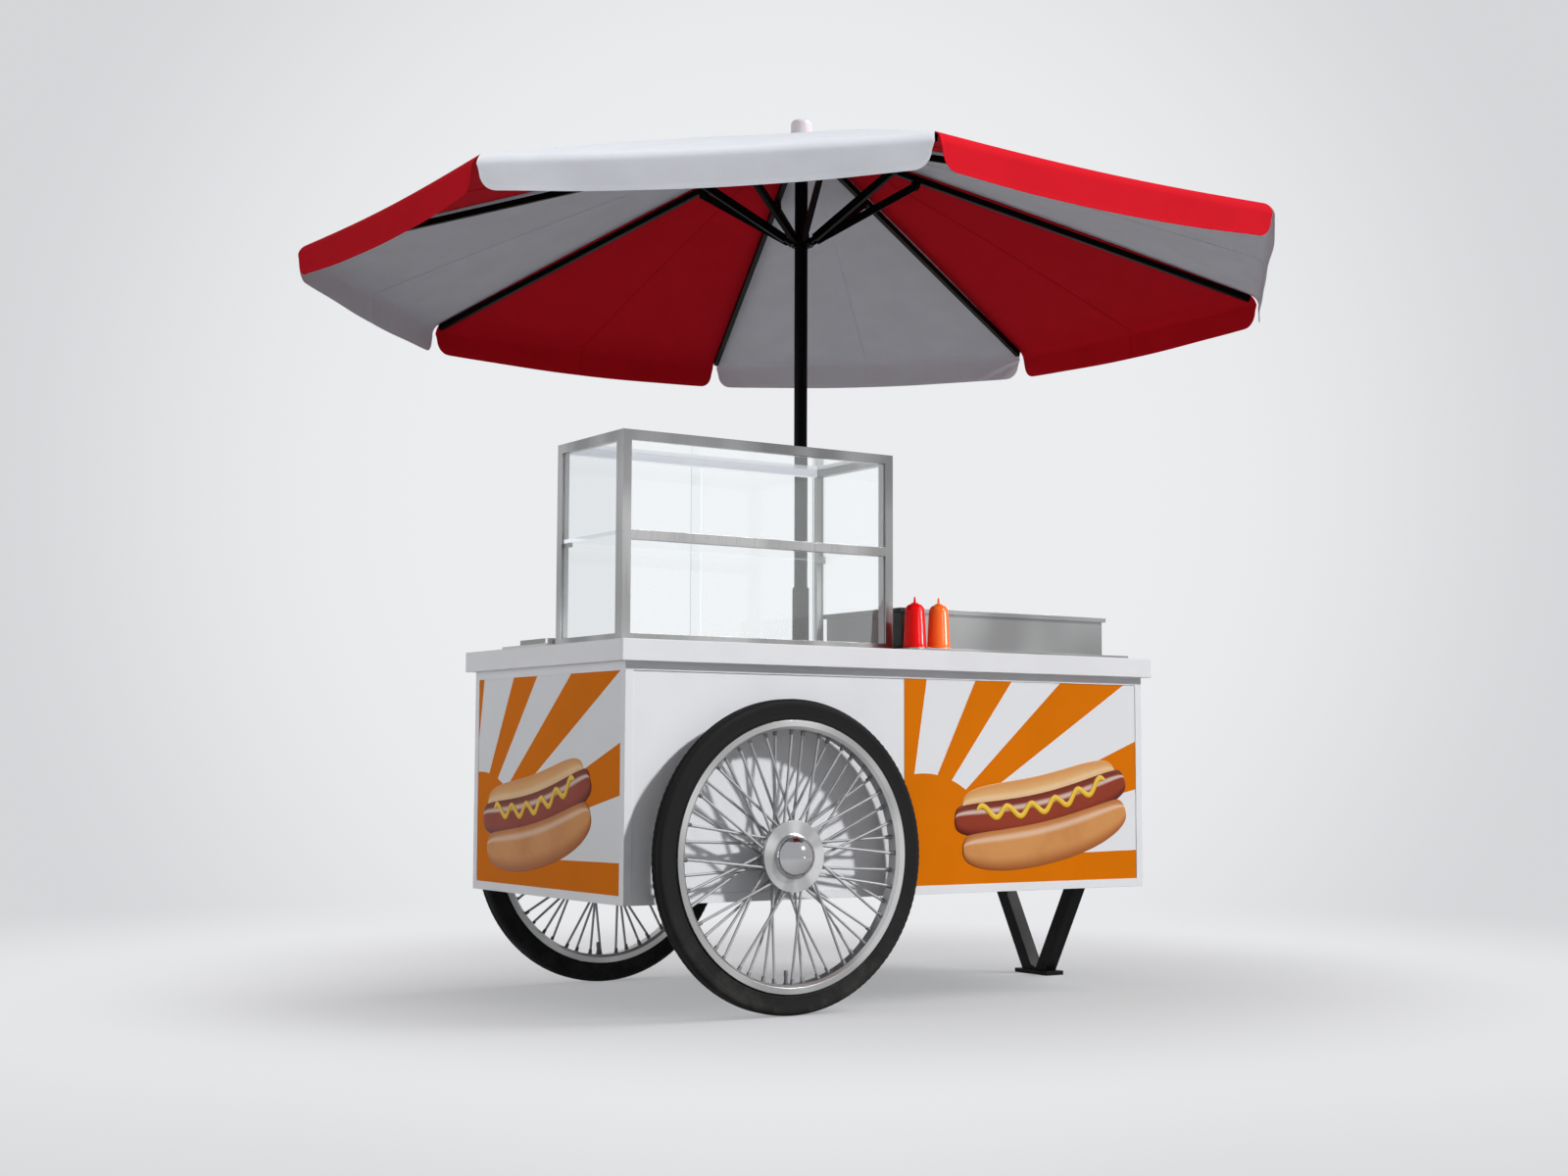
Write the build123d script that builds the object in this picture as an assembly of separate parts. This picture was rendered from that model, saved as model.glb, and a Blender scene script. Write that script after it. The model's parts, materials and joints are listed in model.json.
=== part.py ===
from build123d import *
import math
import os

# Hot dog cart: a counter on two wire wheels and a V stand, with a glass case, a steel trough
# and a folding umbrella. Millimetres. The origin is on the ground below the umbrella pole,
# +X runs along the counter to the right, -Y faces the customers, +Z is up.

# Counter
counter_length = 1685.0
counter_width = 866.0
counter_height = 900.0
counter_thickness = 52.0
counter_skin = 6.0
counter_border = 70.0
counter_corner = 4.0
overhang = 22.0

# Place of the umbrella pole on the counter
pole_from_left = 973.0
pole_from_front = 700.0

# Body
body_bottom = 272.0
frame_tube = 22.0
frame_wall = 2.0
panel_thickness = 1.5
panel_inset = 2.5
floor_thickness = 2.0
graphic_length = 797.0
graphic_thickness = 1.0

# Cabinet doors on the vendor's side
door_opening = 797.0
door_thickness = 16.0
door_gap = 1.5
door_slot_length = 110.0
door_slot_width = 26.0
door_slot_from_edge = 45.0
hinge_barrel_radius = 5.0
hinge_pin_radius = 3.0
hinge_leaf = 20.0
hinge_leaf_thickness = 2.0
hinge_length = 75.0
hinge_knuckle = 25.0
hinge_inset = 90.0

# Wheels
wheel_from_left = 449.0
wheel_radius = 382.0
wheel_stand_out = 42.0
tyre_height = 52.0
tyre_width = 46.0
tyre_wall = 6.0
tyre_shoulder = 13.0
tyre_gap = 0.2
rim_width = 45.0
rim_wall = 3.0
rim_face = 15.0
rim_seat_depth = 12.0
rim_well_depth = 18.0
rim_well_width = 24.0
rim_seat_gap = 30.0
rim_bed_wall = 4.0
rim_bed_width = 30.0
spoke_count = 48
spoke_radius = 3.4
spoke_lean = 20.0
spoke_root = 6.0
spoke_bite = 2.0
spoke_step = 5.2
spoke_side_offset = 6.0
hub_face_radius = 87.0
hub_face_out = 18.0
hub_face_thickness = 6.0
hub_ring_radius = 82.0
hub_ring_thickness = 14.0
hub_back_radius = 70.0
hub_back_in = 40.0
hub_barrel_radius = 36.0
hub_inner_end = 52.0
cap_radius = 56.0
cap_height = 44.0
cap_wall = 2.0
axle_radius = 15.0
axle_hole_gap = 1.0
axle_shoulder_radius = 24.0
axle_end_play = 1.0
axle_nut_radius = 23.0
axle_nut_height = 12.0
axle_block_length = 90.0
axle_block_thickness = 12.0
axle_block_rise = 34.0
axle_block_from_side = 60.0
running_gap = 0.05

# V stand
stand_from_right = 50.0
stand_tube = 40.0
stand_wall = 3.0
stand_top_spread = 164.0
stand_foot_spread = 28.0
stand_plate = 80.0
stand_plate_thickness = 8.0
foot_length = 63.0
foot_width = 142.0
foot_thickness = 12.0

# Glass case
case_from_left = 91.5
case_from_front = 168.0
case_length = 822.0
case_depth = 349.0
case_height = 528.0
case_tube = 24.0
case_tube_wall = 1.5
case_shelf_height = 268.0
case_shelf_thickness = 10.0
case_shelf_from_side = 10.0
case_post_depth = 34.0
clip_length = 18.0
clip_width = 22.0
clip_height = 10.0
glass_thickness = 4.0
pane_inset = 5.0
slide_overlap = 26.0
slide_track_gap = 0.3
slide_track_step = 10.0
slide_track_from_back = 7.0
slide_low_bite = 5.0
slide_high_bite = 8.0

# Trough
trough_from_left = 945.0
trough_from_front = 172.0
trough_length = 710.0
trough_depth = 350.0
trough_height = 122.0
trough_wall = 1.5
trough_lip = 8.0
trough_lip_height = 12.0

# Condiment tray and bottles
tray_from_left = 890.0
tray_from_front = 48.0
tray_length = 762.0
tray_width = 110.0
tray_height = 9.0
tray_floor = 2.0
tray_rim = 5.0
tray_corner = 20.0
bottle_radius = 32.5
bottle_taper_height = 105.0
bottle_body_height = 119.0
bottle_shoulder_radius = 26.0
bottle_shoulder_bulge = 3.0
collar_radius = 13.5
collar_height = 3.0
nozzle_foot_radius = 5.0
nozzle_foot_height = 6.0
nozzle_height = 25.0
nozzle_tip_radius = 2.0
red_bottle_from_left = 935.0
bottle_pitch = 79.0
bottle_from_front = 100.0

# Cutting board
board_from_left = 70.0
board_from_front = 530.0
board_length = 550.0
board_width = 270.0
board_thickness = 14.0
board_corner = 18.0
board_tray_inset = 12.0
board_tray_length = 325.0
board_tray_width = 176.0
board_tray_height = 14.0

# Umbrella pole and sleeve
pole_radius = 19.0
pole_wall = 2.0
pole_hole_gap = 0.2
pole_joint_depth = 61.0
pole_spigot = 80.0
spigot_gap = 0.1
sleeve_gap = 0.1
sleeve_radius = 24.0
sleeve_height = 211.0
sleeve_flange_radius = 45.0
sleeve_flange_thickness = 6.0
socket_radius = 28.0
socket_height = 60.0
socket_floor = 7.0

# Umbrella canopy
canopy_apex = 2452.0
canopy_rim_height = 2035.0
canopy_radius = 1427.0
canopy_thickness = 2.5
canopy_turn = 1.1
canopy_seam = 0.6
valance_depth = 84.0
valance_notch = 7.0
valance_corner = 40.0
valance_lean = 2.0
canopy_pole_gap = 1.0
finial_radius = 31.0
finial_height = 45.0
finial_edge = 15.0
rib_count = 8

# Ribs, struts, hub and runner
rib_height = 18.0
rib_wall = 1.5
rib_gap = 1.5
rib_tip_short = 22.0
rib_start = 22.0
tongue_thickness = 8.0
tongue_radius = 6.5
pin_radius = 2.5
slot_gap = 0.5
hinge_radius = 45.0
hub_radius = 52.0
hub_above_pin = 6.0
hub_below_pin = 14.0
slot_root_gap = 2.5
strut_on_rib = 320.0
strut_drop = 22.0
strut_width = 14.0
strut_height = 22.0
strut_start = 16.0
fork_plate = 3.0
fork_length = 24.0
fork_below = 8.0
runner_hinge_radius = 33.0
runner_hinge_height = 2125.0
runner_radius = 24.0
runner_below_hinge = 15.0
runner_above_hinge = 25.0
runner_flange_half = 10.0
runner_flange_over = 3.0

# Edges of the counter and the body
left = -pole_from_left
right = left + counter_length
front = -pole_from_front
back = front + counter_width
counter_bottom = counter_height - counter_thickness
body_left = left + overhang
body_right = right - overhang
body_front = front + overhang
body_back = back - overhang
inner_left = body_left + frame_tube
inner_right = body_right - frame_tube
inner_front = body_front + frame_tube
inner_back = body_back - frame_tube
opening_low = body_bottom + frame_tube
opening_high = counter_bottom - frame_tube
floor_top = body_bottom + floor_thickness
door_left_edge = inner_right - door_opening

# Places that several pieces share
wheel_x = left + wheel_from_left
stand_x = right - stand_from_right
middle_y = (front + back) / 2
case_left = left + case_from_left
case_right = case_left + case_length
case_front = front + case_from_front
case_back = case_front + case_depth
case_top = counter_height + case_height
shelf_rail_middle = counter_height + case_shelf_height
shelf_rail_high = shelf_rail_middle + case_tube / 2
shelf_low = shelf_rail_high - case_shelf_thickness
case_post_back = case_front + case_post_depth
track_width = glass_thickness + 2 * slide_track_gap
sleeve_top = counter_height + sleeve_height
pole_joint_height = sleeve_top - pole_joint_depth

# Umbrella geometry
rib_angles = [canopy_turn + (i + 0.5) * 360 / rib_count for i in range(rib_count)]
roof_slope = math.atan((canopy_apex - canopy_rim_height) / canopy_radius)
rib_width = strut_width + 2 * slot_gap
rib_offset = canopy_thickness + rib_gap + rib_height / 2
hinge_height = canopy_apex - hinge_radius * math.tan(roof_slope) - rib_offset / math.cos(roof_slope)
rib_length = (canopy_radius - rib_tip_short - hinge_radius) / math.cos(roof_slope)
slot_width = tongue_thickness + 2 * slot_gap
pivot_radius = (hinge_radius + strut_on_rib * math.cos(roof_slope) - strut_drop * math.sin(roof_slope))
pivot_height = hinge_height - strut_on_rib * math.sin(roof_slope) - strut_drop * math.cos(roof_slope)
strut_length = math.hypot(pivot_radius - runner_hinge_radius, pivot_height - runner_hinge_height)
strut_rise = math.degrees(
    math.atan2(pivot_height - runner_hinge_height, pivot_radius - runner_hinge_radius)
)


def block(x0, x1, y0, y1, z0, z1):
    """A box between two corners."""
    corner = (Align.MIN, Align.MIN, Align.MIN)
    return Pos(x0, y0, z0) * Box(x1 - x0, y1 - y0, z1 - z0, align=corner)


def tube(x0, x1, y0, y1, z0, z1, along, wall):
    """A box-section tube between two corners, open at both ends along one axis."""
    grow = {axis: 0 if axis == along else wall for axis in "xyz"}
    hollow = block(
        x0 + grow["x"], x1 - grow["x"], y0 + grow["y"], y1 - grow["y"], z0 + grow["z"], z1 - grow["z"]
    )
    return block(x0, x1, y0, y1, z0, z1) - hollow


def upright(radius, low, high):
    """A vertical round bar on the Z axis."""
    return Pos(0, 0, low) * Cylinder(radius, high - low, align=(Align.CENTER, Align.CENTER, Align.MIN))


def crossbar(radius, y0, y1, x, z):
    """A round bar along Y."""
    bar = Cylinder(radius, y1 - y0, align=(Align.CENTER, Align.CENTER, Align.MIN))
    return Pos(x, y0, z) * Rot(-90, 0, 0) * bar


def rounded_plate(x0, x1, y0, y1, z0, z1, corner):
    """A flat plate with rounded corners."""
    outline = RectangleRounded(x1 - x0, y1 - y0, corner)
    return Pos((x0 + x1) / 2, (y0 + y1) / 2, z0) * extrude(outline, z1 - z0)


def save(name, *solids):
    """Write one node, as a single solid or as a group of separate solids."""
    shape = solids[0] if len(solids) == 1 else Compound(children=list(solids))
    export_step(shape, os.path.join("parts", name + ".step"))


def make_body_frame():
    """Welded square tubes: corner posts, top and bottom rails and the stile beside the doors."""
    bars = []
    for x in (body_left, inner_right):
        for y in (body_front, inner_back):
            bars.append(
                tube(x, x + frame_tube, y, y + frame_tube, body_bottom, counter_bottom, "z", frame_wall)
            )
    for z in (body_bottom, opening_high):
        for y in (body_front, inner_back):
            bars.append(tube(inner_left, inner_right, y, y + frame_tube, z, z + frame_tube, "x", frame_wall))
        for x in (body_left, inner_right):
            bars.append(tube(x, x + frame_tube, inner_front, inner_back, z, z + frame_tube, "y", frame_wall))
    stile_left = door_left_edge - frame_tube
    bars.append(
        tube(stile_left, door_left_edge, inner_back, body_back, opening_low, opening_high, "z", frame_wall)
    )
    save("body_frame", *bars)


def make_panels():
    """Floor, front, end and back panels, and the two printed graphics laid on them."""
    save("floor_panel", block(inner_left, inner_right, inner_front, inner_back, body_bottom, floor_top))
    axle_hole = axle_radius + axle_hole_gap
    front_face = body_front + panel_inset
    panel = block(
        inner_left, inner_right, front_face, front_face + panel_thickness, opening_low, opening_high
    )
    save("front_panel", panel - crossbar(axle_hole, body_front, inner_front, wheel_x, wheel_radius))
    left_face = body_left + panel_inset
    right_face = body_right - panel_inset
    save(
        "end_panels",
        block(left_face, left_face + panel_thickness, inner_front, inner_back, opening_low, opening_high),
        block(right_face - panel_thickness, right_face, inner_front, inner_back, opening_low, opening_high),
    )
    back_face = body_back - panel_inset
    panel = block(
        inner_left, door_left_edge - frame_tube, back_face - panel_thickness, back_face,
        opening_low, opening_high,
    )
    save("back_panel", panel - crossbar(axle_hole, inner_back, body_back, wheel_x, wheel_radius))
    save(
        "front_graphic",
        block(
            inner_right - graphic_length, inner_right, front_face - graphic_thickness, front_face,
            opening_low, opening_high,
        ),
    )
    save(
        "end_graphic",
        block(left_face - graphic_thickness, left_face, inner_front, inner_back, opening_low, opening_high),
    )


def hinge_heights():
    """Lower ends of the two hinges of a cabinet door."""
    return (opening_low + hinge_inset, opening_high - hinge_inset - hinge_length)


def hinge_half(x, side, z0, z1, bore):
    """One knuckle with its leaf. side is +1 where the leaf lies to the right of the barrel."""
    y = body_back + hinge_barrel_radius
    knuckle = Pos(x, y, 0) * upright(hinge_barrel_radius, z0, z1)
    edge = x + side * hinge_leaf
    leaf = block(min(x, edge), max(x, edge), body_back, body_back + hinge_leaf_thickness, z0, z1)
    return knuckle + leaf - Pos(x, y, 0) * upright(bore, z0, z1)


def make_cabinet_doors():
    """Two doors hung on the stile and on the right post, with their hinges and pins."""
    middle = (door_left_edge + inner_right) / 2
    pins = []
    door_bore = hinge_pin_radius + running_gap
    for name, hinge_x, free_x, side in (
        ("back_door_left", door_left_edge, middle, 1),
        ("back_door_right", inner_right, middle, -1),
    ):
        low = opening_low + door_gap
        high = opening_high - door_gap
        near = hinge_x + side * door_gap
        far = free_x - side * door_gap / 2
        door = block(min(near, far), max(near, far), body_back - door_thickness, body_back, low, high)
        slot = SlotCenterToCenter(door_slot_length - door_slot_width, door_slot_width)
        slot_x = free_x - side * door_slot_from_edge
        slot_place = Pos(slot_x, body_back, (low + high) / 2) * Rot(90, 0, 0) * Rot(0, 0, 90)
        door -= slot_place * extrude(slot, door_thickness * 2, both=True)
        for foot in hinge_heights():
            lower = foot + hinge_knuckle
            upper = lower + hinge_knuckle
            end = foot + hinge_length
            door += hinge_half(hinge_x, side, lower + slot_gap, upper - slot_gap, door_bore)
            frame_half = hinge_half(hinge_x, -side, foot, lower, hinge_pin_radius / 2)
            frame_half += hinge_half(hinge_x, -side, upper, end, hinge_pin_radius / 2)
            pin = Pos(hinge_x, body_back + hinge_barrel_radius, 0) * upright(hinge_pin_radius, foot, end)
            pins.append(frame_half + pin)
        save(name, door)
    save("door_hinges", *pins)


def make_countertop():
    """Counter slab with a thick border, hollow below, and a hole for the pole."""
    slab = block(left, right, front, back, counter_bottom, counter_height)
    slab = fillet(slab.edges().filter_by(Axis.Z), counter_corner)
    slab -= block(
        left + counter_border, right - counter_border, front + counter_border, back - counter_border,
        counter_bottom, counter_height - counter_skin,
    )
    save("countertop", slab - upright(pole_radius + pole_hole_gap, counter_bottom, counter_height))


def wheel_ring(points):
    """Turn a closed outline of (radius, outward distance) points about the axle."""
    outline = make_face(Polyline(*[(r, w) for r, w in points], close=True))
    return revolve(Plane.XZ * outline, Axis.Z)


def make_tyre():
    """Tyre with a flat tread, round shoulders and straight sidewalls, hollow and open towards the rim."""
    half = tyre_width / 2
    rim_radius = wheel_radius - tyre_height
    seat = rim_radius - rim_seat_depth + tyre_gap
    base = rim_width / 2 - rim_wall - tyre_gap
    outline = make_face(
        Polyline(
            (wheel_radius, -half), (wheel_radius, half), (rim_radius + 2 * tyre_gap, base), (seat, base),
            (seat, -base), (rim_radius + 2 * tyre_gap, -base), close=True,
        )
    )
    outline = fillet(outline.vertices().sort_by(Axis.X)[-2:], tyre_shoulder)
    air = half - tyre_wall
    middle = wheel_radius - half
    hollow = Pos(middle, 0) * Circle(air)
    mouth = Pos((seat + middle) / 2, 0) * Rectangle(middle - seat + 2 * tyre_wall, air)
    return revolve(Plane.XZ * (outline - hollow - mouth), Axis.Z)


def make_rim():
    """Deep-section rim: two lips, two bead seats and a well that takes the spokes."""
    lip = wheel_radius - tyre_height
    seat = lip - rim_seat_depth
    well = lip - rim_well_depth
    half = rim_width / 2
    bed = well - rim_bed_wall
    half_bed = rim_bed_width / 2
    half_seat = rim_seat_gap / 2
    half_well = rim_well_width / 2
    points = [
        (lip, half), (lip - rim_face, half), (bed, half_bed), (bed, -half_bed),
        (lip - rim_face, -half), (lip, -half), (lip, rim_wall - half), (seat, rim_wall - half),
        (seat, -half_seat), (well, -half_well), (well, half_well), (seat, half_seat),
        (seat, half - rim_wall), (lip, half - rim_wall),
    ]
    return wheel_ring(points)


def make_hub():
    """Turned hub: face plate, spoke rings and a barrel bored for the axle."""
    bore = axle_radius + running_gap
    ring_in = hub_face_out - hub_face_thickness
    points = [
        (bore, -hub_inner_end), (hub_barrel_radius, -hub_inner_end), (hub_barrel_radius, -hub_back_in),
        (hub_back_radius, -hub_back_in), (hub_back_radius, hub_ring_thickness - hub_back_in),
        (hub_barrel_radius, hub_ring_thickness - hub_back_in),
        (hub_barrel_radius, ring_in - hub_ring_thickness),
        (hub_ring_radius, ring_in - hub_ring_thickness), (hub_ring_radius, ring_in),
        (hub_face_radius, ring_in), (hub_face_radius, hub_face_out), (bore, hub_face_out),
    ]
    return wheel_ring(points)


def make_cap():
    """Domed cap: a thin part of a ball standing on the hub's face."""
    ball_radius = (cap_radius ** 2 + cap_height ** 2) / (2 * cap_height)
    shell = Sphere(ball_radius) - Sphere(ball_radius - cap_wall)
    cap_top = hub_face_out + cap_height
    above = block(-ball_radius, ball_radius, -ball_radius, ball_radius, hub_face_out, cap_top)
    return (Pos(0, 0, cap_top - ball_radius) * shell) & above


def make_spokes():
    """Crossed wire spokes, in turn from the face ring and from the back ring to the rim's bed.

    Those that cross leave their ring on its two sides and pass each other.
    """
    rim_end = wheel_radius - tyre_height - rim_well_depth - rim_bed_wall + spoke_bite
    face_ring = hub_face_out - hub_face_thickness - hub_ring_thickness / 2
    back_ring = hub_ring_thickness / 2 - hub_back_in
    spokes = []
    for i in range(spoke_count):
        on_face = i % 2 == 0
        way = 1 if (i // 2) % 2 == 0 else -1
        root_radius = (hub_ring_radius if on_face else hub_back_radius) - spoke_root
        root_side = (face_ring if on_face else back_ring) + way * spoke_step
        rim_side = spoke_side_offset if on_face else -spoke_side_offset
        rim_angle = math.radians(i * 360 / spoke_count)
        hub_angle = rim_angle + way * math.radians(spoke_lean)
        start = Vector(root_radius * math.cos(hub_angle), root_radius * math.sin(hub_angle), root_side)
        end = Vector(rim_end * math.cos(rim_angle), rim_end * math.sin(rim_angle), rim_side)
        wire = Cylinder(
            spoke_radius, (end - start).length, align=(Align.CENTER, Align.CENTER, Align.MIN)
        )
        spokes.append(Plane(origin=start, z_dir=end - start) * wire)
    return spokes


def make_wheels():
    """Two wheels on one fixed axle, with the blocks that carry it inside the body."""
    for name, y, turn in (("front", front - wheel_stand_out, 90), ("back", back + wheel_stand_out, -90)):
        place = Pos(wheel_x, y, wheel_radius) * Rot(turn, 0, 0)
        save(name + "_tyre", place * make_tyre())
        save(name + "_rim", place * make_rim())
        save(name + "_spokes", *[place * spoke for spoke in make_spokes()])
        save(name + "_hub", place * make_hub())
        save(name + "_hub_cap", place * make_cap())
    reach = wheel_stand_out + hub_face_out + axle_end_play + axle_nut_height
    axle = crossbar(axle_radius, front - reach, back + reach, wheel_x, wheel_radius)
    hub_near = wheel_stand_out - hub_inner_end - axle_end_play
    shoulder_in = overhang + panel_inset
    axle += crossbar(axle_shoulder_radius, front - hub_near, front + shoulder_in, wheel_x, wheel_radius)
    axle += crossbar(axle_shoulder_radius, back - shoulder_in, back + hub_near, wheel_x, wheel_radius)
    nut = extrude(RegularPolygon(axle_nut_radius, 6), axle_nut_height)
    for y, turn in ((front - reach, -90), (back + reach, 90)):
        axle += Pos(wheel_x, y, wheel_radius) * Rot(turn, 0, 0) * nut
    save("axle", axle)
    blocks = []
    for y in (body_front + axle_block_from_side, body_back - axle_block_from_side - axle_block_thickness):
        plate = block(
            wheel_x - axle_block_length / 2, wheel_x + axle_block_length / 2, y, y + axle_block_thickness,
            floor_top, wheel_radius + axle_block_rise,
        )
        blocks.append(
            plate - crossbar(axle_radius + running_gap, y, y + axle_block_thickness, wheel_x, wheel_radius)
        )
    save("axle_blocks", *blocks)


def make_stand():
    """Two slanted box-section legs with top plates, and the foot plate they stand on."""
    plate_low = body_bottom - stand_plate_thickness
    lean = math.atan((stand_top_spread - stand_foot_spread) / (plate_low - foot_thickness))
    legs = []
    for side in (-1, 1):
        shell = []
        for width in (stand_tube, stand_tube - 2 * stand_wall):
            half = width / 2 / math.cos(lean)
            outline = make_face(
                Polyline(
                    (side * stand_foot_spread - half, foot_thickness),
                    (side * stand_foot_spread + half, foot_thickness),
                    (side * stand_top_spread + half, plate_low),
                    (side * stand_top_spread - half, plate_low),
                    close=True,
                )
            )
            shell.append(extrude(Plane.YZ * outline, width / 2, both=True))
        leg = Pos(stand_x, middle_y, 0) * (shell[0] - shell[1])
        y = middle_y + side * stand_top_spread
        half_plate = stand_plate / 2
        leg += block(
            stand_x - half_plate, min(stand_x + half_plate, body_right), y - half_plate, y + half_plate,
            plate_low, body_bottom,
        )
        legs.append(leg)
    save("stand_legs", *legs)
    save(
        "stand_foot",
        block(
            stand_x - foot_length / 2, stand_x + foot_length / 2,
            middle_y - foot_width / 2, middle_y + foot_width / 2, 0, foot_thickness,
        ),
    )


def make_case_frame():
    """Stainless box-section frame of the case, slotted at the back for the sliding doors."""
    far_x = case_right - case_tube
    far_y = case_back - case_tube
    inner_x = case_left + case_tube
    inner_y = case_front + case_tube
    top_rail = case_top - case_tube
    bars = []
    for x in (case_left, far_x):
        for y0, y1 in ((case_front, case_post_back), (far_y, case_back)):
            bars.append(tube(x, x + case_tube, y0, y1, counter_height, case_top, "z", case_tube_wall))
    for z in (counter_height, top_rail):
        bars.append(
            tube(inner_x, far_x, case_front, inner_y, z, z + case_tube, "x", case_tube_wall)
        )
        for x in (case_left, far_x):
            bars.append(tube(x, x + case_tube, case_post_back, far_y, z, z + case_tube, "y", case_tube_wall))
    tracks = [
        block(inner_x, far_x, y - track_width / 2, y + track_width / 2, counter_height + case_tube_wall,
              case_top - case_tube_wall)
        for y in slide_tracks()
    ]
    for z in (counter_height, top_rail):
        rail = tube(inner_x, far_x, far_y, case_back, z, z + case_tube, "x", case_tube_wall)
        bars.append(rail - tracks[0] - tracks[1])
    low = shelf_rail_high - case_tube
    bars.append(tube(inner_x, far_x, case_front, inner_y, low, shelf_rail_high, "x", case_tube_wall))
    clip_low = shelf_low - clip_height
    for x in (inner_x, far_x - clip_length):
        bars.append(block(x, x + clip_length, inner_y, inner_y + clip_width, clip_low, shelf_low))
    for x0, x1 in ((case_left + case_shelf_from_side, inner_x), (far_x, case_right - case_shelf_from_side)):
        bars.append(block(x0, x1, far_y - clip_width, far_y, clip_low, shelf_low))
    save("case_frame", *bars)


def slide_tracks():
    """Middle of the inner and of the outer door track."""
    outer = case_back - slide_track_from_back
    return (outer - slide_track_step, outer)


def make_case_glass():
    """Fixed panes, the shelf, and the two doors that slide past each other."""
    inner_x = case_left + case_tube
    far_x = case_right - case_tube
    inner_y = case_front + case_tube
    far_y = case_back - case_tube
    low = counter_height + case_tube
    high = case_top - case_tube
    pane_y = case_front + pane_inset
    panes = [
        block(inner_x, far_x, pane_y, pane_y + glass_thickness, z0, z1)
        for z0, z1 in ((low, shelf_rail_high - case_tube), (shelf_rail_high, high))
    ]
    left_x = case_left + pane_inset
    right_x = case_right - pane_inset - glass_thickness
    panes += [block(x, x + glass_thickness, case_post_back, far_y, low, high) for x in (left_x, right_x)]
    top_z = case_top - pane_inset
    panes.append(block(inner_x, far_x, inner_y, far_y, top_z - glass_thickness, top_z))
    save("case_panes", *panes)
    save(
        "case_shelf",
        block(
            case_left + case_shelf_from_side, case_right - case_shelf_from_side,
            case_post_back + slot_gap, far_y - slot_gap, shelf_low, shelf_rail_high,
        ),
    )
    middle = (case_left + case_right) / 2
    inner_track, outer_track = slide_tracks()
    for name, x0, x1, y in (
        ("case_door_left", inner_x + slot_gap, middle + slide_overlap / 2, inner_track),
        ("case_door_right", middle - slide_overlap / 2, far_x - slot_gap, outer_track),
    ):
        save(
            name,
            block(
                x0, x1, y - glass_thickness / 2, y + glass_thickness / 2,
                low - slide_low_bite, high + slide_high_bite,
            ),
        )


def make_trough():
    """Open steel box with a hemmed lip."""
    x0 = left + trough_from_left
    y0 = front + trough_from_front
    x1 = x0 + trough_length
    y1 = y0 + trough_depth
    rim = counter_height + trough_height
    shell = block(x0, x1, y0, y1, counter_height, rim)
    shell += block(
        x0 - trough_lip, x1 + trough_lip, y0 - trough_lip, y1 + trough_lip, rim - trough_lip_height, rim
    )
    shell -= block(
        x0 + trough_wall, x1 - trough_wall, y0 + trough_wall, y1 - trough_wall,
        counter_height + trough_wall, rim,
    )
    save("trough", shell)


def shallow_tray(x0, x1, y0, y1, z, height):
    """A low tray with a raised rim and rounded corners, standing at height z."""
    tray = rounded_plate(x0, x1, y0, y1, z, z + height, tray_corner)
    return tray - rounded_plate(
        x0 + tray_rim, x1 - tray_rim, y0 + tray_rim, y1 - tray_rim,
        z + tray_floor, z + height, tray_corner - tray_rim,
    )


def make_trays():
    """Condiment tray in front of the trough, and a serving tray on the cutting board."""
    x0 = left + tray_from_left
    y0 = front + tray_from_front
    x1 = left + board_from_left + board_tray_inset
    y1 = front + board_from_front + board_tray_inset
    save(
        "steel_trays",
        shallow_tray(x0, x0 + tray_length, y0, y0 + tray_width, counter_height, tray_height),
        shallow_tray(
            x1, x1 + board_tray_length, y1, y1 + board_tray_width, counter_height + board_thickness,
            board_tray_height,
        ),
    )


def make_bottles():
    """Two squeeze bottles, each a tapered body with a screwed-on nozzle."""
    floor = counter_height + tray_floor
    top = floor + bottle_body_height
    shoulder = floor + bottle_taper_height
    side = bottle_shoulder_radius
    bulge = bottle_shoulder_bulge
    body = make_face(
        Polyline((0, top), (0, floor), (bottle_radius, floor), (side, shoulder))
        + ThreePointArc(
            (side, shoulder),
            ((side + collar_radius) / 2 + bulge, (shoulder + top) / 2 + bulge),
            (collar_radius, top),
        )
        + Line((collar_radius, top), (0, top))
    )
    nozzle = make_face(
        Polyline(
            (0, top), (collar_radius, top), (collar_radius, top + collar_height),
            (nozzle_foot_radius, top + nozzle_foot_height), (nozzle_tip_radius, top + nozzle_height),
            (0, top + nozzle_height), close=True,
        )
    )
    for i, name in enumerate(("red_bottle", "orange_bottle")):
        place = Pos(left + red_bottle_from_left + i * bottle_pitch, front + bottle_from_front, 0)
        save(name, place * revolve(Plane.XZ * body, Axis.Z), place * revolve(Plane.XZ * nozzle, Axis.Z))


def make_cutting_board():
    """Flat board with rounded corners."""
    x0 = left + board_from_left
    y0 = front + board_from_front
    save(
        "cutting_board",
        rounded_plate(
            x0, x0 + board_length, y0, y0 + board_width, counter_height, counter_height + board_thickness,
            board_corner,
        ),
    )


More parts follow.
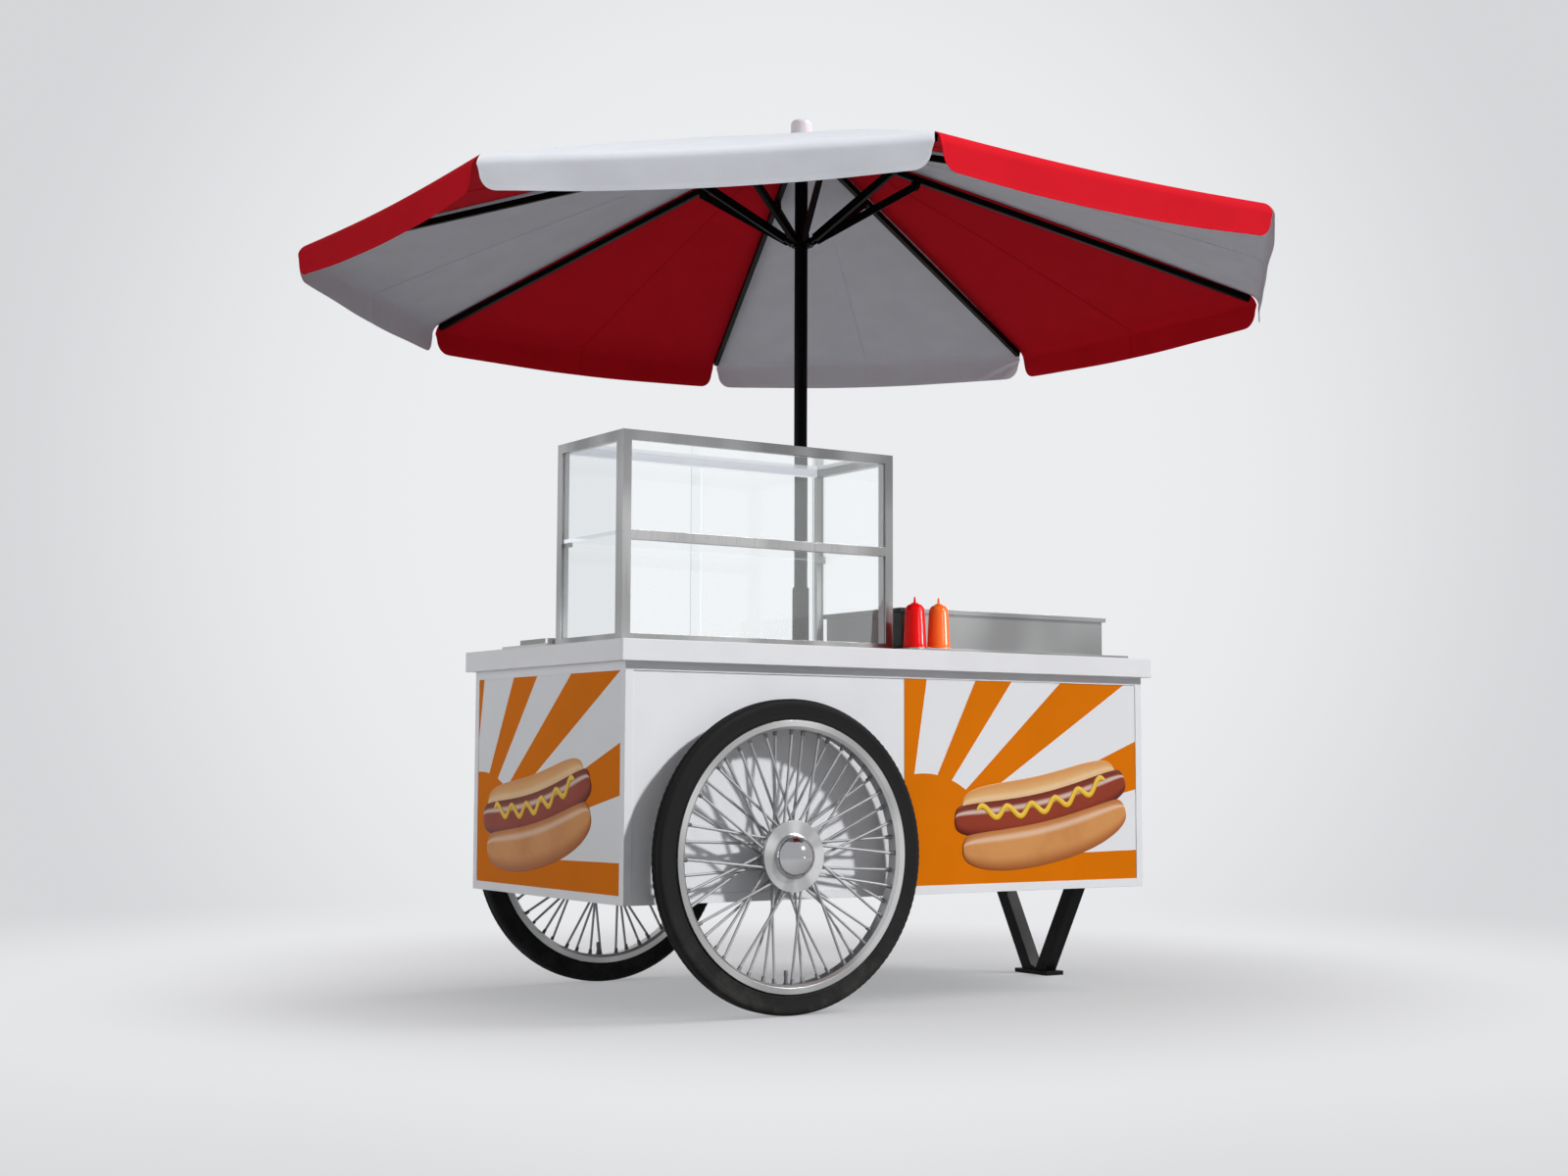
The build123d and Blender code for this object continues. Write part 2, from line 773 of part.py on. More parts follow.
def make_pole():
    """Sleeve on the counter, socket on the floor, and the pole in two lengths with a spigot."""
    bore = pole_radius + sleeve_gap
    sleeve = upright(sleeve_radius, counter_height, sleeve_top)
    sleeve += upright(sleeve_flange_radius, counter_height, counter_height + sleeve_flange_thickness)
    save("pole_sleeve", sleeve - upright(bore, counter_height, sleeve_top))
    pole_foot = floor_top + socket_floor
    socket = upright(socket_radius, floor_top, floor_top + socket_height)
    save("pole_socket", socket - upright(bore, pole_foot, floor_top + socket_height))
    inner = pole_radius - pole_wall
    lower = upright(pole_radius, pole_foot, pole_joint_height)
    save("pole_lower", lower - upright(inner, pole_foot, pole_joint_height))
    pole_top = finial_base() + finial_height / 2
    upper = upright(pole_radius, pole_joint_height, pole_top)
    upper -= upright(inner, pole_joint_height + pole_wall, pole_top)
    upper += upright(inner - spigot_gap, pole_joint_height - pole_spigot, pole_joint_height + pole_wall)
    save("pole_upper", upper)


def finial_base():
    """The finial stands on the canopy where the canopy meets the pole."""
    return canopy_apex - pole_radius * math.tan(roof_slope)


def make_finial():
    """Round cap on the pole's top that clamps the canopy."""
    base = finial_base()
    knob = upright(finial_radius, base, base + finial_height)
    knob = fillet(knob.edges().sort_by(Axis.Z)[-1], finial_edge)
    save("finial", knob - upright(pole_radius + running_gap, base, base + finial_height / 2))


def notched_ring(outer, low, high, slot_root):
    """A ring with one radial slot for each rib or strut end, open above and below."""
    ring = upright(outer, low, high)
    depth = outer - slot_root
    for angle in rib_angles:
        slot = Pos(slot_root + depth / 2, 0, (low + high) / 2) * Box(depth, slot_width, high - low)
        ring -= Rot(0, 0, angle) * slot
    return ring


def make_hub_and_runner():
    """Fixed rib hub with a pin across each slot, and the runner that slides on the pole."""
    bore = pole_radius + running_gap
    root = hinge_radius - tongue_radius - slot_root_gap
    low = hinge_height - hub_below_pin
    high = hinge_height + hub_above_pin
    hub = notched_ring(hub_radius, low, high, root)
    for angle in rib_angles:
        pin = Cylinder(pin_radius, slot_width + 2 * slot_gap)
        hub += Rot(0, 0, angle) * Pos(hinge_radius, 0, hinge_height) * Rot(90, 0, 0) * pin
    save("rib_hub", hub - upright(bore, low, high))
    root = runner_hinge_radius - tongue_radius - slot_root_gap
    flange_radius = runner_hinge_radius + runner_flange_over
    runner = notched_ring(
        flange_radius, runner_hinge_height - runner_flange_half, runner_hinge_height + runner_flange_half,
        root,
    )
    low = runner_hinge_height - runner_below_hinge
    high = runner_hinge_height + runner_above_hinge
    runner += upright(runner_radius, low, high)
    save("runner", runner - upright(bore, low, high))


def tongue(length):
    """A flat eye end along +X with its hole at the origin."""
    eye = Rot(90, 0, 0) * Cylinder(tongue_radius, tongue_thickness)
    bar = Pos(length / 2, 0, 0) * Box(length, tongue_thickness, 2 * tongue_radius)
    hole = Rot(90, 0, 0) * Cylinder(pin_radius + running_gap, tongue_thickness)
    return eye + bar - hole


def make_rib():
    """Hollow rib along +X from its hinge, with two plates on its sides that hold the strut below it."""
    bar = Pos((rib_start + rib_length) / 2, 0, 0) * Box(rib_length - rib_start, rib_width, rib_height)
    hollow_start = rib_start + 2 * tongue_radius
    hollow = Pos((hollow_start + rib_length) / 2, 0, 0) * Box(
        rib_length - hollow_start, rib_width - 2 * rib_wall, rib_height - 2 * rib_wall
    )
    rib = bar - hollow + tongue(rib_start + tongue_radius)
    fork_low = strut_drop + fork_below
    for side in (-1, 1):
        y = side * (rib_width + fork_plate) / 2
        rib += Pos(strut_on_rib, y, -fork_low / 2) * Box(fork_length, fork_plate, fork_low)
    pin = Cylinder(pin_radius, rib_width + 2 * fork_plate)
    return rib + Pos(strut_on_rib, 0, -strut_drop) * Rot(90, 0, 0) * pin


def make_strut():
    """Strut along +X from its round end on the rib to its flat free end in the runner's slot."""
    far = strut_length - strut_start
    bar = Pos(far / 2, 0, 0) * Box(far, strut_width, strut_height)
    bar += Rot(90, 0, 0) * Cylinder(strut_height / 2, strut_width)
    bar -= Rot(90, 0, 0) * Cylinder(pin_radius + running_gap, strut_width)
    return bar + Pos(strut_length, 0, 0) * Rot(0, 180, 0) * tongue(strut_start + tongue_radius)


def make_ribs_and_struts():
    """Place one rib and one strut at each rib angle."""
    rib = Pos(hinge_radius, 0, hinge_height) * Rot(0, math.degrees(roof_slope), 0) * make_rib()
    strut = Pos(pivot_radius, 0, pivot_height) * Rot(0, 180 - strut_rise, 0) * make_strut()
    for i, angle in enumerate(rib_angles, start=1):
        save(f"rib_{i}", Rot(0, 0, angle) * rib)
        save(f"strut_{i}", Rot(0, 0, angle) * strut)


def make_canopy():
    """Flat gores between the ribs, each with a valance flap hanging from its rim."""
    half_turn = math.radians(180 / rib_count)
    flat = canopy_radius * math.cos(half_turn)
    half_edge = canopy_radius * math.sin(half_turn)
    pitch = math.atan((canopy_apex - canopy_rim_height) / flat)
    slant = flat / math.cos(pitch)
    inner_slant = (pole_radius + canopy_pole_gap) / math.cos(pitch) / math.cos(half_turn)
    inner_half = half_edge * inner_slant / slant - canopy_seam
    gore = make_face(
        Polyline(
            (inner_slant, inner_half), (inner_slant, -inner_half), (slant, canopy_seam - half_edge),
            (slant, half_edge - canopy_seam), close=True,
        )
    )
    roof_plane = Plane(
        origin=(0, 0, canopy_apex), x_dir=(math.cos(pitch), 0, -math.sin(pitch)),
        z_dir=(math.sin(pitch), 0, math.cos(pitch)),
    )
    panel = roof_plane * extrude(gore, -canopy_thickness)
    flap_half = half_edge - valance_notch
    flap = Pos(0, -valance_depth / 2) * Rectangle(2 * flap_half, valance_depth)
    low_corners = flap.vertices().sort_by(Axis.Y)[:2]
    flap = fillet(low_corners, valance_corner)
    lean = math.radians(valance_lean)
    flap_plane = Plane(
        origin=(flat, 0, canopy_rim_height), x_dir=(0, 1, 0), z_dir=(math.cos(lean), 0, -math.sin(lean))
    )
    panel += flap_plane * extrude(flap, -canopy_thickness)
    step = 360 / rib_count
    gores = [Rot(0, 0, canopy_turn + i * step) * panel for i in range(rib_count)]
    save("canopy_red", *gores[0::2])
    save("canopy_white", *gores[1::2])


os.makedirs("parts", exist_ok=True)
make_body_frame()
make_panels()
make_cabinet_doors()
make_countertop()
make_wheels()
make_stand()
make_case_frame()
make_case_glass()
make_trough()
make_trays()
make_bottles()
make_cutting_board()
make_pole()
make_finial()
make_hub_and_runner()
make_ribs_and_struts()
make_canopy()
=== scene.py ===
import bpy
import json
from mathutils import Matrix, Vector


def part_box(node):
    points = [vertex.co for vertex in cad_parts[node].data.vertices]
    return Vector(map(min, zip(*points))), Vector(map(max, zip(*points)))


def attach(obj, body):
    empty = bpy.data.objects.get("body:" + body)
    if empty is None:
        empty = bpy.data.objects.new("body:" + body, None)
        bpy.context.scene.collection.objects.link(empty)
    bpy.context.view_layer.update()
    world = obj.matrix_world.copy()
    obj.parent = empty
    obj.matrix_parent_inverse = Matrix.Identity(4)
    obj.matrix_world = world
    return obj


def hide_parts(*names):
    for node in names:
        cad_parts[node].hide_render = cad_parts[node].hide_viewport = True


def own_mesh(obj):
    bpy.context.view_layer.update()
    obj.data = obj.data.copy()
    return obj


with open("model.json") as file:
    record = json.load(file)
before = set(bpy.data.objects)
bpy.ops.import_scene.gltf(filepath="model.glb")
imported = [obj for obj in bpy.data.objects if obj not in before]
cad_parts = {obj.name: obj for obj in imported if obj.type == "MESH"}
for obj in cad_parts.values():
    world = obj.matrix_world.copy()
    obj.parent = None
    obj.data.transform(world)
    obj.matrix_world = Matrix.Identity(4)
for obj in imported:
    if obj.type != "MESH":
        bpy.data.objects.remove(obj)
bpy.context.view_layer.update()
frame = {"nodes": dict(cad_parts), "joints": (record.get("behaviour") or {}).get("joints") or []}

import json
import math

import bpy
from bpy.props import FloatProperty, FloatVectorProperty, IntProperty, PointerProperty
from mathutils import Matrix, Vector

bl_info = {
    "name": "Hot dog cart finish",
    "version": (1, 0, 0),
    "blender": (4, 5, 0),
    "location": "View3D > Sidebar > Cart",
    "description": "Dresses the packed hot dog cart with fabric, tyres, bottles, prints and finishes",
    "category": "Object",
}

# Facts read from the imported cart, in metres
rib_joints = sorted(
    (joint for joint in frame["joints"] if joint["child"].startswith("rib_")),
    key=lambda joint: joint["child"],
)
half_gore = math.pi / len(rib_joints)
widest_rib = max(Vector(joint["pos_m"]).xy.normalized().x for joint in rib_joints)
canopy_low, canopy_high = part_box("canopy_white")
finial_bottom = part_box("finial")[0].z
glass_nodes = ("case_panes", "case_shelf", "case_door_left", "case_door_right")
wheel_sides = ("front", "back")

# Fits and finishes that several pieces share, in metres
layer_gap = 0.0016
finial_hole = 0.019
upright_streaks = (900.0, 900.0, 8.0)
ring_streaks = (3.0, 3.0, 1500.0)
upward = Vector((0, 0, 1))

# Directions of the lower and upper edges of the printed rays, in degrees
ray_edges = ((-30.0, 0.9), (12.6, 21.2), (31.5, 41.3), (52.2, 62.9), (80.5, 120.0))


def colour(name, description, value):
    """A colour that a user can change."""
    return FloatVectorProperty(
        name=name, description=description, subtype="COLOR", size=3, min=0.0, max=1.0, default=value
    )


def length(name, description, value):
    """A length that a user can change, in metres."""
    return FloatProperty(name=name, description=description, unit="LENGTH", default=value, precision=4)


def angle(name, description, degrees):
    """An angle that a user can change."""
    return FloatProperty(name=name, description=description, subtype="ANGLE", default=math.radians(degrees))


def number(name, description, value, **options):
    """A plain number that a user can change."""
    return FloatProperty(name=name, description=description, default=value, **options)


class CartColours(bpy.types.PropertyGroup):
    """Colours of the cart's finishes"""

    coat: colour("White coat", "Powder coat on the body", (0.81, 0.82, 0.845))
    laminate: colour("Counter", "Laminate on the counter", (0.825, 0.832, 0.853))
    orange: colour("Print orange", "Orange of the printed rays", (0.72, 0.18, 0.002))
    paper: colour("Print white", "White of the printed rays", (0.8, 0.81, 0.83))
    steel: colour("Steel", "Brushed stainless steel", (0.5, 0.5, 0.497))
    satin: colour("Satin rim", "Turned metal of the rims", (0.67, 0.67, 0.665))
    hub: colour("Satin hub", "Turned metal of the hubs", (0.74, 0.74, 0.735))
    chrome: colour("Chrome", "Hub caps and spokes", (0.52, 0.52, 0.53))
    rubber: colour("Rubber", "Tyres", (0.013, 0.013, 0.013))
    black: colour("Black coat", "Pole and ribs", (0.0025, 0.0025, 0.0025))
    stand: colour("Stand coat", "Black coat of the stand", (0.004, 0.004, 0.004))
    red_cloth: colour("Red cloth", "Red gores of the canopy", (0.7, 0.01, 0.022))
    white_cloth: colour("White cloth", "White gores of the canopy", (0.8, 0.82, 0.87))
    red_bottle: colour("Red bottle", "Squeeze bottle for ketchup", (0.74, 0.004, 0.004))
    orange_bottle: colour("Orange bottle", "Squeeze bottle for mustard", (0.95, 0.15, 0.02))
    white_plastic: colour("White plastic", "Umbrella finial", (0.84, 0.87, 0.92))
    board: colour("Board", "Cutting board and cabinet doors", (0.78, 0.785, 0.79))
    track: colour("Track", "Plastic tracks of the sliding doors", (0.82, 0.84, 0.88))
    dust: colour("Dust", "Road dust near the ground", (0.5, 0.47, 0.42))
    bun: colour("Bun", "Bread of the printed hot dog", (0.66, 0.3, 0.1))
    crumb: colour("Crumb", "Cut side of the printed bun", (0.8, 0.5, 0.22))
    sausage: colour("Sausage", "Sausage of the printed hot dog", (0.3, 0.045, 0.02))
    mustard: colour("Mustard", "Mustard of the printed hot dog", (0.85, 0.56, 0.03))
    background: colour("Background", "Outer part of the background and far floor", (0.67, 0.676, 0.694))
    glow: colour("Background glow", "Middle of the background", (0.838, 0.845, 0.862))
    floor: colour("Floor", "Floor around the cart", (0.81, 0.815, 0.83))


class CartSizes(bpy.types.PropertyGroup):
    """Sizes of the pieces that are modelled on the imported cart"""

    valance: length("Valance depth", "Depth of the hanging flap", 0.084)
    valance_lean: angle("Valance lean", "How far the flap leans inwards", 1.0)
    valance_corner: length("Valance corner", "Radius of the flap's lower corners", 0.044)
    valance_notch: length("Valance notch", "Half the gap between two flaps at the hem", 0.007)
    notch_reach: length("Notch reach", "Distance from a rib over which the gap between flaps closes", 0.14)
    valance_wave: length("Valance wave", "How far the flap waves in and out at its hem", 0.003)
    rim_above_hem: length("Rim above hem", "Height of the rim above the packed canopy's hem", 0.084)
    shoulder: length("Shoulder", "Radius of the fold between roof and flap", 0.026)
    gore_sag: length("Gore sag", "Sag of the rim between two ribs", 0.012)
    hem_bow: length("Hem bow", "Extra depth of the flap between two ribs", 0.009)
    corner_droop: length("Corner droop", "How far the cloth hangs down over the end of a rib", 0.004)
    corner_flare: length("Corner flare", "How far the cloth stands out over the end of a rib", 0.009)
    corner_reach: length("Corner reach", "Distance from a rib over which droop and flare fade", 0.24)
    roof_bow: length("Roof bow", "Rise of the roof between crown and rim above a straight line", 0.008)
    cloth: length("Cloth", "Thickness of the canvas", 0.0012)
    cloth_start: length("Cloth start", "Radius at which the gores start below the crown", 0.05)
    crown: length("Crown", "Radius of the cloth crown below the finial", 0.064)
    crown_hole: length("Crown hole", "Radius of the hole in the cloth crown", 0.0205)
    seam_tuck: length("Seam tuck", "How far each half gore runs under the next one at the top", 0.005)
    fold_keep: number(
        "Fold keep", "Share of a gore's width that is left when the umbrella is folded", 0.808,
        min=0.05, max=1.0,
    )
    sun_left: length("Sun left", "Sun's centre from the left edge of a print", 0.061)
    sun_up: length("Sun up", "Sun's centre above the lower edge of a print", 0.041)
    sun_radius: length("Sun radius", "Radius of the printed sun", 0.247)
    ray_left: length("Ray left", "Point that the rays leave from, from the left edge of a print", -0.006)
    ray_up: length("Ray up", "Point that the rays leave from, above the lower edge of a print", 0.065)
    end_stretch: number("End stretch", "Stretch of the print on the end", 1.09)
    end_shift: length("End shift", "Part of the print that is cut off on the end", 0.05)
    front_dog: length("Front hot dog", "Hot dog's middle from the left edge of the front print", 0.468)
    end_dog: length("End hot dog", "Hot dog's middle from the left edge of the end print", 0.343)
    dog_up: length("Hot dog up", "Hot dog's middle above the lower edge of a print", 0.165)
    dog_length: length("Hot dog length", "Length of the printed hot dog", 0.6)
    dog_bend: length("Hot dog bend", "How far the ends of the printed hot dog bend up", 0.03)
    dog_tilt: angle("Hot dog tilt", "Tilt of the printed hot dog", 10.0)
    dog_relief: length("Hot dog relief", "Height of the embossed print", 0.0035)
    tyre_shoulder: length("Tyre shoulder", "Radius of a tyre's shoulder", 0.012)
    wall_ring: length("Sidewall ring", "Height of the raised rings on a tyre's sidewall", 0.0006)
    tread_groove: length("Tread groove", "Depth of the grooves round a tyre's tread", 0.0014)
    notch_depth: length("Notch depth", "Depth of the notches in a tyre's shoulder", 0.0011)
    tread_notches: IntProperty(
        name="Tread notches", description="Notches round a tyre's shoulder", default=132, min=12
    )


class CartStudio(bpy.types.PropertyGroup):
    """Camera and light"""

    camera_place: FloatVectorProperty(
        name="Camera", description="Place of the camera", subtype="TRANSLATION",
        default=(-3.3872, -5.0515, 0.6092),
    )
    camera_yaw: angle("Yaw", "Camera heading from +Y towards +X", 33.4045)
    camera_pitch: angle("Pitch", "Camera pitch above the horizon", 4.7189)
    camera_roll: angle("Roll", "Camera roll", 0.2005)
    camera_lens: number("Lens", "Focal length on a 36 mm sensor", 48.508, unit="CAMERA")
    glow_rise: angle("Glow rise", "Middle of the background's glow above the camera's heading", 2.65)
    sun_from: FloatVectorProperty(
        name="Sun from", description="Direction that the sunlight comes from", subtype="DIRECTION",
        default=(0.536, -0.638, 0.552),
    )
    sun_strength: number("Sun", "Strength of the key light", 3.02)
    ambient: number("Ambient", "Strength of the light from all round", 0.3)
    bounce: number("Bounce", "Share of light that the floor gives back", 0.37)


# Nodes

def feed(tree, node, inputs):
    """Set or link inputs of a node."""
    for key, value in inputs.items():
        if isinstance(value, bpy.types.NodeSocket):
            tree.links.new(value, node.inputs[key])
        else:
            node.inputs[key].default_value = value


def add(tree, kind, inputs=None, **settings):
    """Add a node, set its options, and set or link its inputs."""
    node = tree.nodes.new(kind)
    for key, value in settings.items():
        setattr(node, key, value)
    feed(tree, node, inputs or {})
    return node


def math_node(tree, operation, first, second=0.0):
    """The value of a sum on two values or sockets."""
    return add(tree, "ShaderNodeMath", {0: first, 1: second}, operation=operation).outputs[0]


def vector_node(tree, operation, first, second=(0, 0, 0)):
    """The vector of a sum on two vectors or sockets, or the value of a length or a dot product."""
    node = add(tree, "ShaderNodeVectorMath", {0: first, 1: second}, operation=operation)
    return node.outputs["Value" if operation in ("LENGTH", "DOT_PRODUCT") else "Vector"]


def axes(tree, vector):
    """The X, Y and Z sockets of a vector."""
    return add(tree, "ShaderNodeSeparateXYZ", {0: vector}).outputs


def object_place(tree):
    """The place of a point in its object's frame."""
    return add(tree, "ShaderNodeTexCoord").outputs["Object"]


def distance(tree, first, second):
    """The distance of a point with two coordinates from their origin."""
    squares = [math_node(tree, "POWER", part, 2.0) for part in (first, second)]
    return math_node(tree, "SQRT", math_node(tree, "ADD", *squares))


def noise(tree, place, scale, detail, roughness=0.5):
    """Cloudy noise between zero and one."""
    inputs = {"Vector": place, "Scale": scale, "Detail": detail, "Roughness": roughness}
    return add(tree, "ShaderNodeTexNoise", inputs).outputs["Fac"]


def ramp(tree, value, low, high, to_low=0.0, to_high=1.0, kind="SMOOTHSTEP"):
    """A step of value from low to high, smooth unless another kind is named."""
    node = add(
        tree, "ShaderNodeMapRange",
        {"Value": value, "From Min": low, "From Max": high, "To Min": to_low, "To Max": to_high},
        interpolation_type=kind,
    )
    return node.outputs["Result"]


def mix_colour(tree, factor, first, second):
    """A mix of two colours or colour sockets."""
    node = add(tree, "ShaderNodeMix", {0: factor}, data_type="RGBA", clamp_factor=True)
    for key, value in ((6, first), (7, second)):
        feed(tree, node, {key: value if isinstance(value, bpy.types.NodeSocket) else (*value[:3], 1.0)})
    return node.outputs[2]


def effect(name, inputs, outputs):
    """An empty shader node group with named float, vector or colour sockets."""
    kinds = {"value": "NodeSocketFloat", "vector": "NodeSocketVector", "colour": "NodeSocketColor"}
    tree = bpy.data.node_groups.new(name, "ShaderNodeTree")
    for socket, (kind, default) in inputs.items():
        made = tree.interface.new_socket(socket, in_out="INPUT", socket_type=kinds[kind])
        made.default_value = default
    for socket, kind in outputs.items():
        tree.interface.new_socket(socket, in_out="OUTPUT", socket_type=kinds[kind])
    return tree, tree.nodes.new("NodeGroupInput").outputs, tree.nodes.new("NodeGroupOutput")


def use_effect(tree, name, inputs=None):
    """Place an effect in a material and return its outputs."""
    return add(tree, "ShaderNodeGroup", inputs, node_tree=bpy.data.node_groups[name]).outputs


def make_grain():
    """Fine grain: an uneven gloss and a fine bump, as on powder coat, rubber and plastic."""
    tree, given, out = effect(
        "Fine grain", {"Scale": ("value", 300.0), "Low": ("value", 0.3), "High": ("value", 0.5)},
        {"Roughness": "value", "Height": "value", "Cloud": "value"},
    )
    place = object_place(tree)
    fine = noise(tree, place, given["Scale"], 3.0)
    cloud = noise(tree, place, 5.0, 5.0, 0.6)
    gloss = ramp(tree, cloud, 0.3, 0.7, given["Low"], given["High"], "LINEAR")
    feed(tree, out, {"Roughness": gloss, "Height": fine, "Cloud": cloud})


def make_streaks():
    """Brushed streaks, and broad soft bands that are used as painted reflections: noise drawn out along one
    direction.
    """
    tree, given, out = effect(
        "Brushed streaks",
        {"Place": ("vector", (0, 0, 0)), "Stretch": ("vector", (4.0, 900.0, 900.0)),
         "Bands": ("vector", (9.0, 9.0, 0.8)), "Low": ("value", 0.25), "High": ("value", 0.4)},
        {"Roughness": "value", "Height": "value", "Tone": "value", "Band": "value"},
    )
    lines = noise(tree, vector_node(tree, "MULTIPLY", given["Place"], given["Stretch"]), 1.0, 4.0)
    bands = noise(tree, vector_node(tree, "MULTIPLY", given["Place"], given["Bands"]), 1.0, 0.6)
    gloss = ramp(tree, lines, 0.3, 0.7, given["Low"], given["High"], "LINEAR")
    feed(tree, out, {"Roughness": gloss, "Height": lines, "Tone": lines, "Band": bands})


def make_dust():
    """Road dust: a cloudy mask that fades out above the ground."""
    tree, given, out = effect(
        "Road dust", {"Reach": ("value", 0.35), "Amount": ("value", 0.3)}, {"Mask": "value"}
    )
    place = object_place(tree)
    fade = ramp(tree, axes(tree, place)["Z"], 0.0, given["Reach"], 1.0, 0.0)
    patch = ramp(tree, noise(tree, place, 14.0, 6.0, 0.7), 0.38, 0.68)
    mask = math_node(tree, "MULTIPLY", math_node(tree, "MULTIPLY", fade, patch), given["Amount"])
    feed(tree, out, {"Mask": mask})


def make_edges():
    """Soft edges: a rounded normal, and a mask along the edges where a finish wears."""
    tree, given, out = effect(
        "Soft edges", {"Radius": ("value", 0.002)}, {"Normal": "vector", "Wear": "value"}
    )
    soft = add(tree, "ShaderNodeBevel", {"Radius": given["Radius"]}, samples=4).outputs["Normal"]
    flat = add(tree, "ShaderNodeNewGeometry").outputs["Normal"]
    along = vector_node(tree, "DOT_PRODUCT", soft, flat)
    feed(tree, out, {"Normal": soft, "Wear": ramp(tree, along, 0.999, 0.93)})


def make_backdrop(colours, middle):
    """Backdrop: a glow in the direction of middle that fades to the background colour."""
    tree, given, out = effect("Backdrop", {"Direction": ("vector", (0, 1, 0))}, {"Color": "colour"})
    way = vector_node(tree, "NORMALIZE", given["Direction"])
    near = ramp(tree, vector_node(tree, "DOT_PRODUCT", way, middle), 0.93, 0.99)
    feed(tree, out, {"Color": mix_colour(tree, near, colours.background, colours.glow)})


def make_weave():
    """Canvas weave, with stitched seams beside the ribs and along the hem."""
    seam_width = 0.009
    stitch_width = 0.0007
    stitches_in_metre = 220.0
    stitch_space = 0.3
    tree, given, out = effect(
        "Canvas weave", {"Threads": ("value", 700.0), "Hem": ("value", 0.013)},
        {"Height": "value", "Shade": "value", "Hem": "value"},
    )
    place = add(tree, "ShaderNodeUVMap", uv_map="cloth").outputs["UV"]
    split = axes(tree, place)
    waves = []
    for axis in ("X", "Y"):
        turns = math_node(tree, "MULTIPLY", split[axis], given["Threads"])
        waves.append(math_node(tree, "SINE", math_node(tree, "MULTIPLY", turns, math.tau)))
    threads = math_node(tree, "MULTIPLY", *waves)
    cloud = noise(tree, place, 9.0, 5.0)
    slub = noise(tree, place, 260.0, 2.0)
    hem = math_node(tree, "LESS_THAN", split["Y"], given["Hem"])
    seam = math_node(tree, "LESS_THAN", math_node(tree, "ABSOLUTE", split["X"]), seam_width)
    pitch = math_node(tree, "FRACT", math_node(tree, "MULTIPLY", split["X"], stitches_in_metre))
    dash = math_node(tree, "GREATER_THAN", pitch, stitch_space)
    stitch = math_node(tree, "COMPARE", split["Y"], given["Hem"])
    stitch.node.inputs[2].default_value = stitch_width
    sewn = math_node(tree, "MULTIPLY", stitch, dash)
    folded = math_node(tree, "MAXIMUM", hem, seam)
    rough = math_node(tree, "MULTIPLY", slub, 0.3)
    height = math_node(tree, "ADD", math_node(tree, "MULTIPLY", threads, 0.12), rough)
    height = math_node(tree, "ADD", height, math_node(tree, "MULTIPLY", folded, 0.8))
    height = math_node(tree, "SUBTRACT", height, sewn)
    shade = math_node(tree, "ADD", math_node(tree, "MULTIPLY", cloud, 0.7), rough)
    feed(tree, out, {"Height": height, "Shade": shade, "Hem": folded})


# Materials

def new_material(name):
    """The node tree and the shader of a new material."""
    material = bpy.data.materials.new(name)
    material.use_nodes = True
    return material.node_tree, material.node_tree.nodes["Principled BSDF"]


def finish_of(name):
    """A material that was made before."""
    return bpy.data.materials[name]


def shade_of(base, factor, lift=0.0):
    """A colour made darker or lighter."""
    return [min(1.0, factor * part + lift) for part in base]


def mottled(tree, mask, base, factor):
    """A colour that clouds over to a darker one where a mask is low."""
    return mix_colour(tree, ramp(tree, mask, 0.35, 0.65), shade_of(base, factor), base)


def set_bump(tree, shader, height, strength, depth, normal=None):
    """Feed a height into the shader's normal, over a rounded normal where one is given."""
    inputs = {"Height": height, "Strength": strength, "Distance": depth}
    if normal is not None:
        inputs["Normal"] = normal
    bump = add(tree, "ShaderNodeBump", inputs)
    feed(tree, shader, {"Normal": bump.outputs["Normal"]})


def coated(name, base, gloss, bump, edge=0.0015, scale=420.0, wear=0.0, specular=0.5, dust=0.0, soil=None):
    """A coat of paint, laminate, rubber or plastic with grain and soft edges.
    Its roughness lies between the two values of gloss. With dust, some soil lies on it near the ground."""
    tree, shader = new_material(name)
    grain = use_effect(tree, "Fine grain", {"Scale": scale, "Low": gloss[0], "High": gloss[1]})
    edges = use_effect(tree, "Soft edges", {"Radius": edge})
    shade = mottled(tree, grain["Cloud"], base, 0.965)
    if wear:
        worn = math_node(tree, "MULTIPLY", edges["Wear"], wear)
        shade = mix_colour(tree, worn, shade, shade_of(base, 1.6, 0.02))
    if dust:
        mask = use_effect(tree, "Road dust", {"Amount": dust})["Mask"]
        shade = mix_colour(tree, mask, shade, soil)
    look = {"Base Color": shade, "Roughness": grain["Roughness"], "Specular IOR Level": specular}
    feed(tree, shader, look)
    set_bump(tree, shader, grain["Height"], strength=bump, depth=0.0006, normal=edges["Normal"])


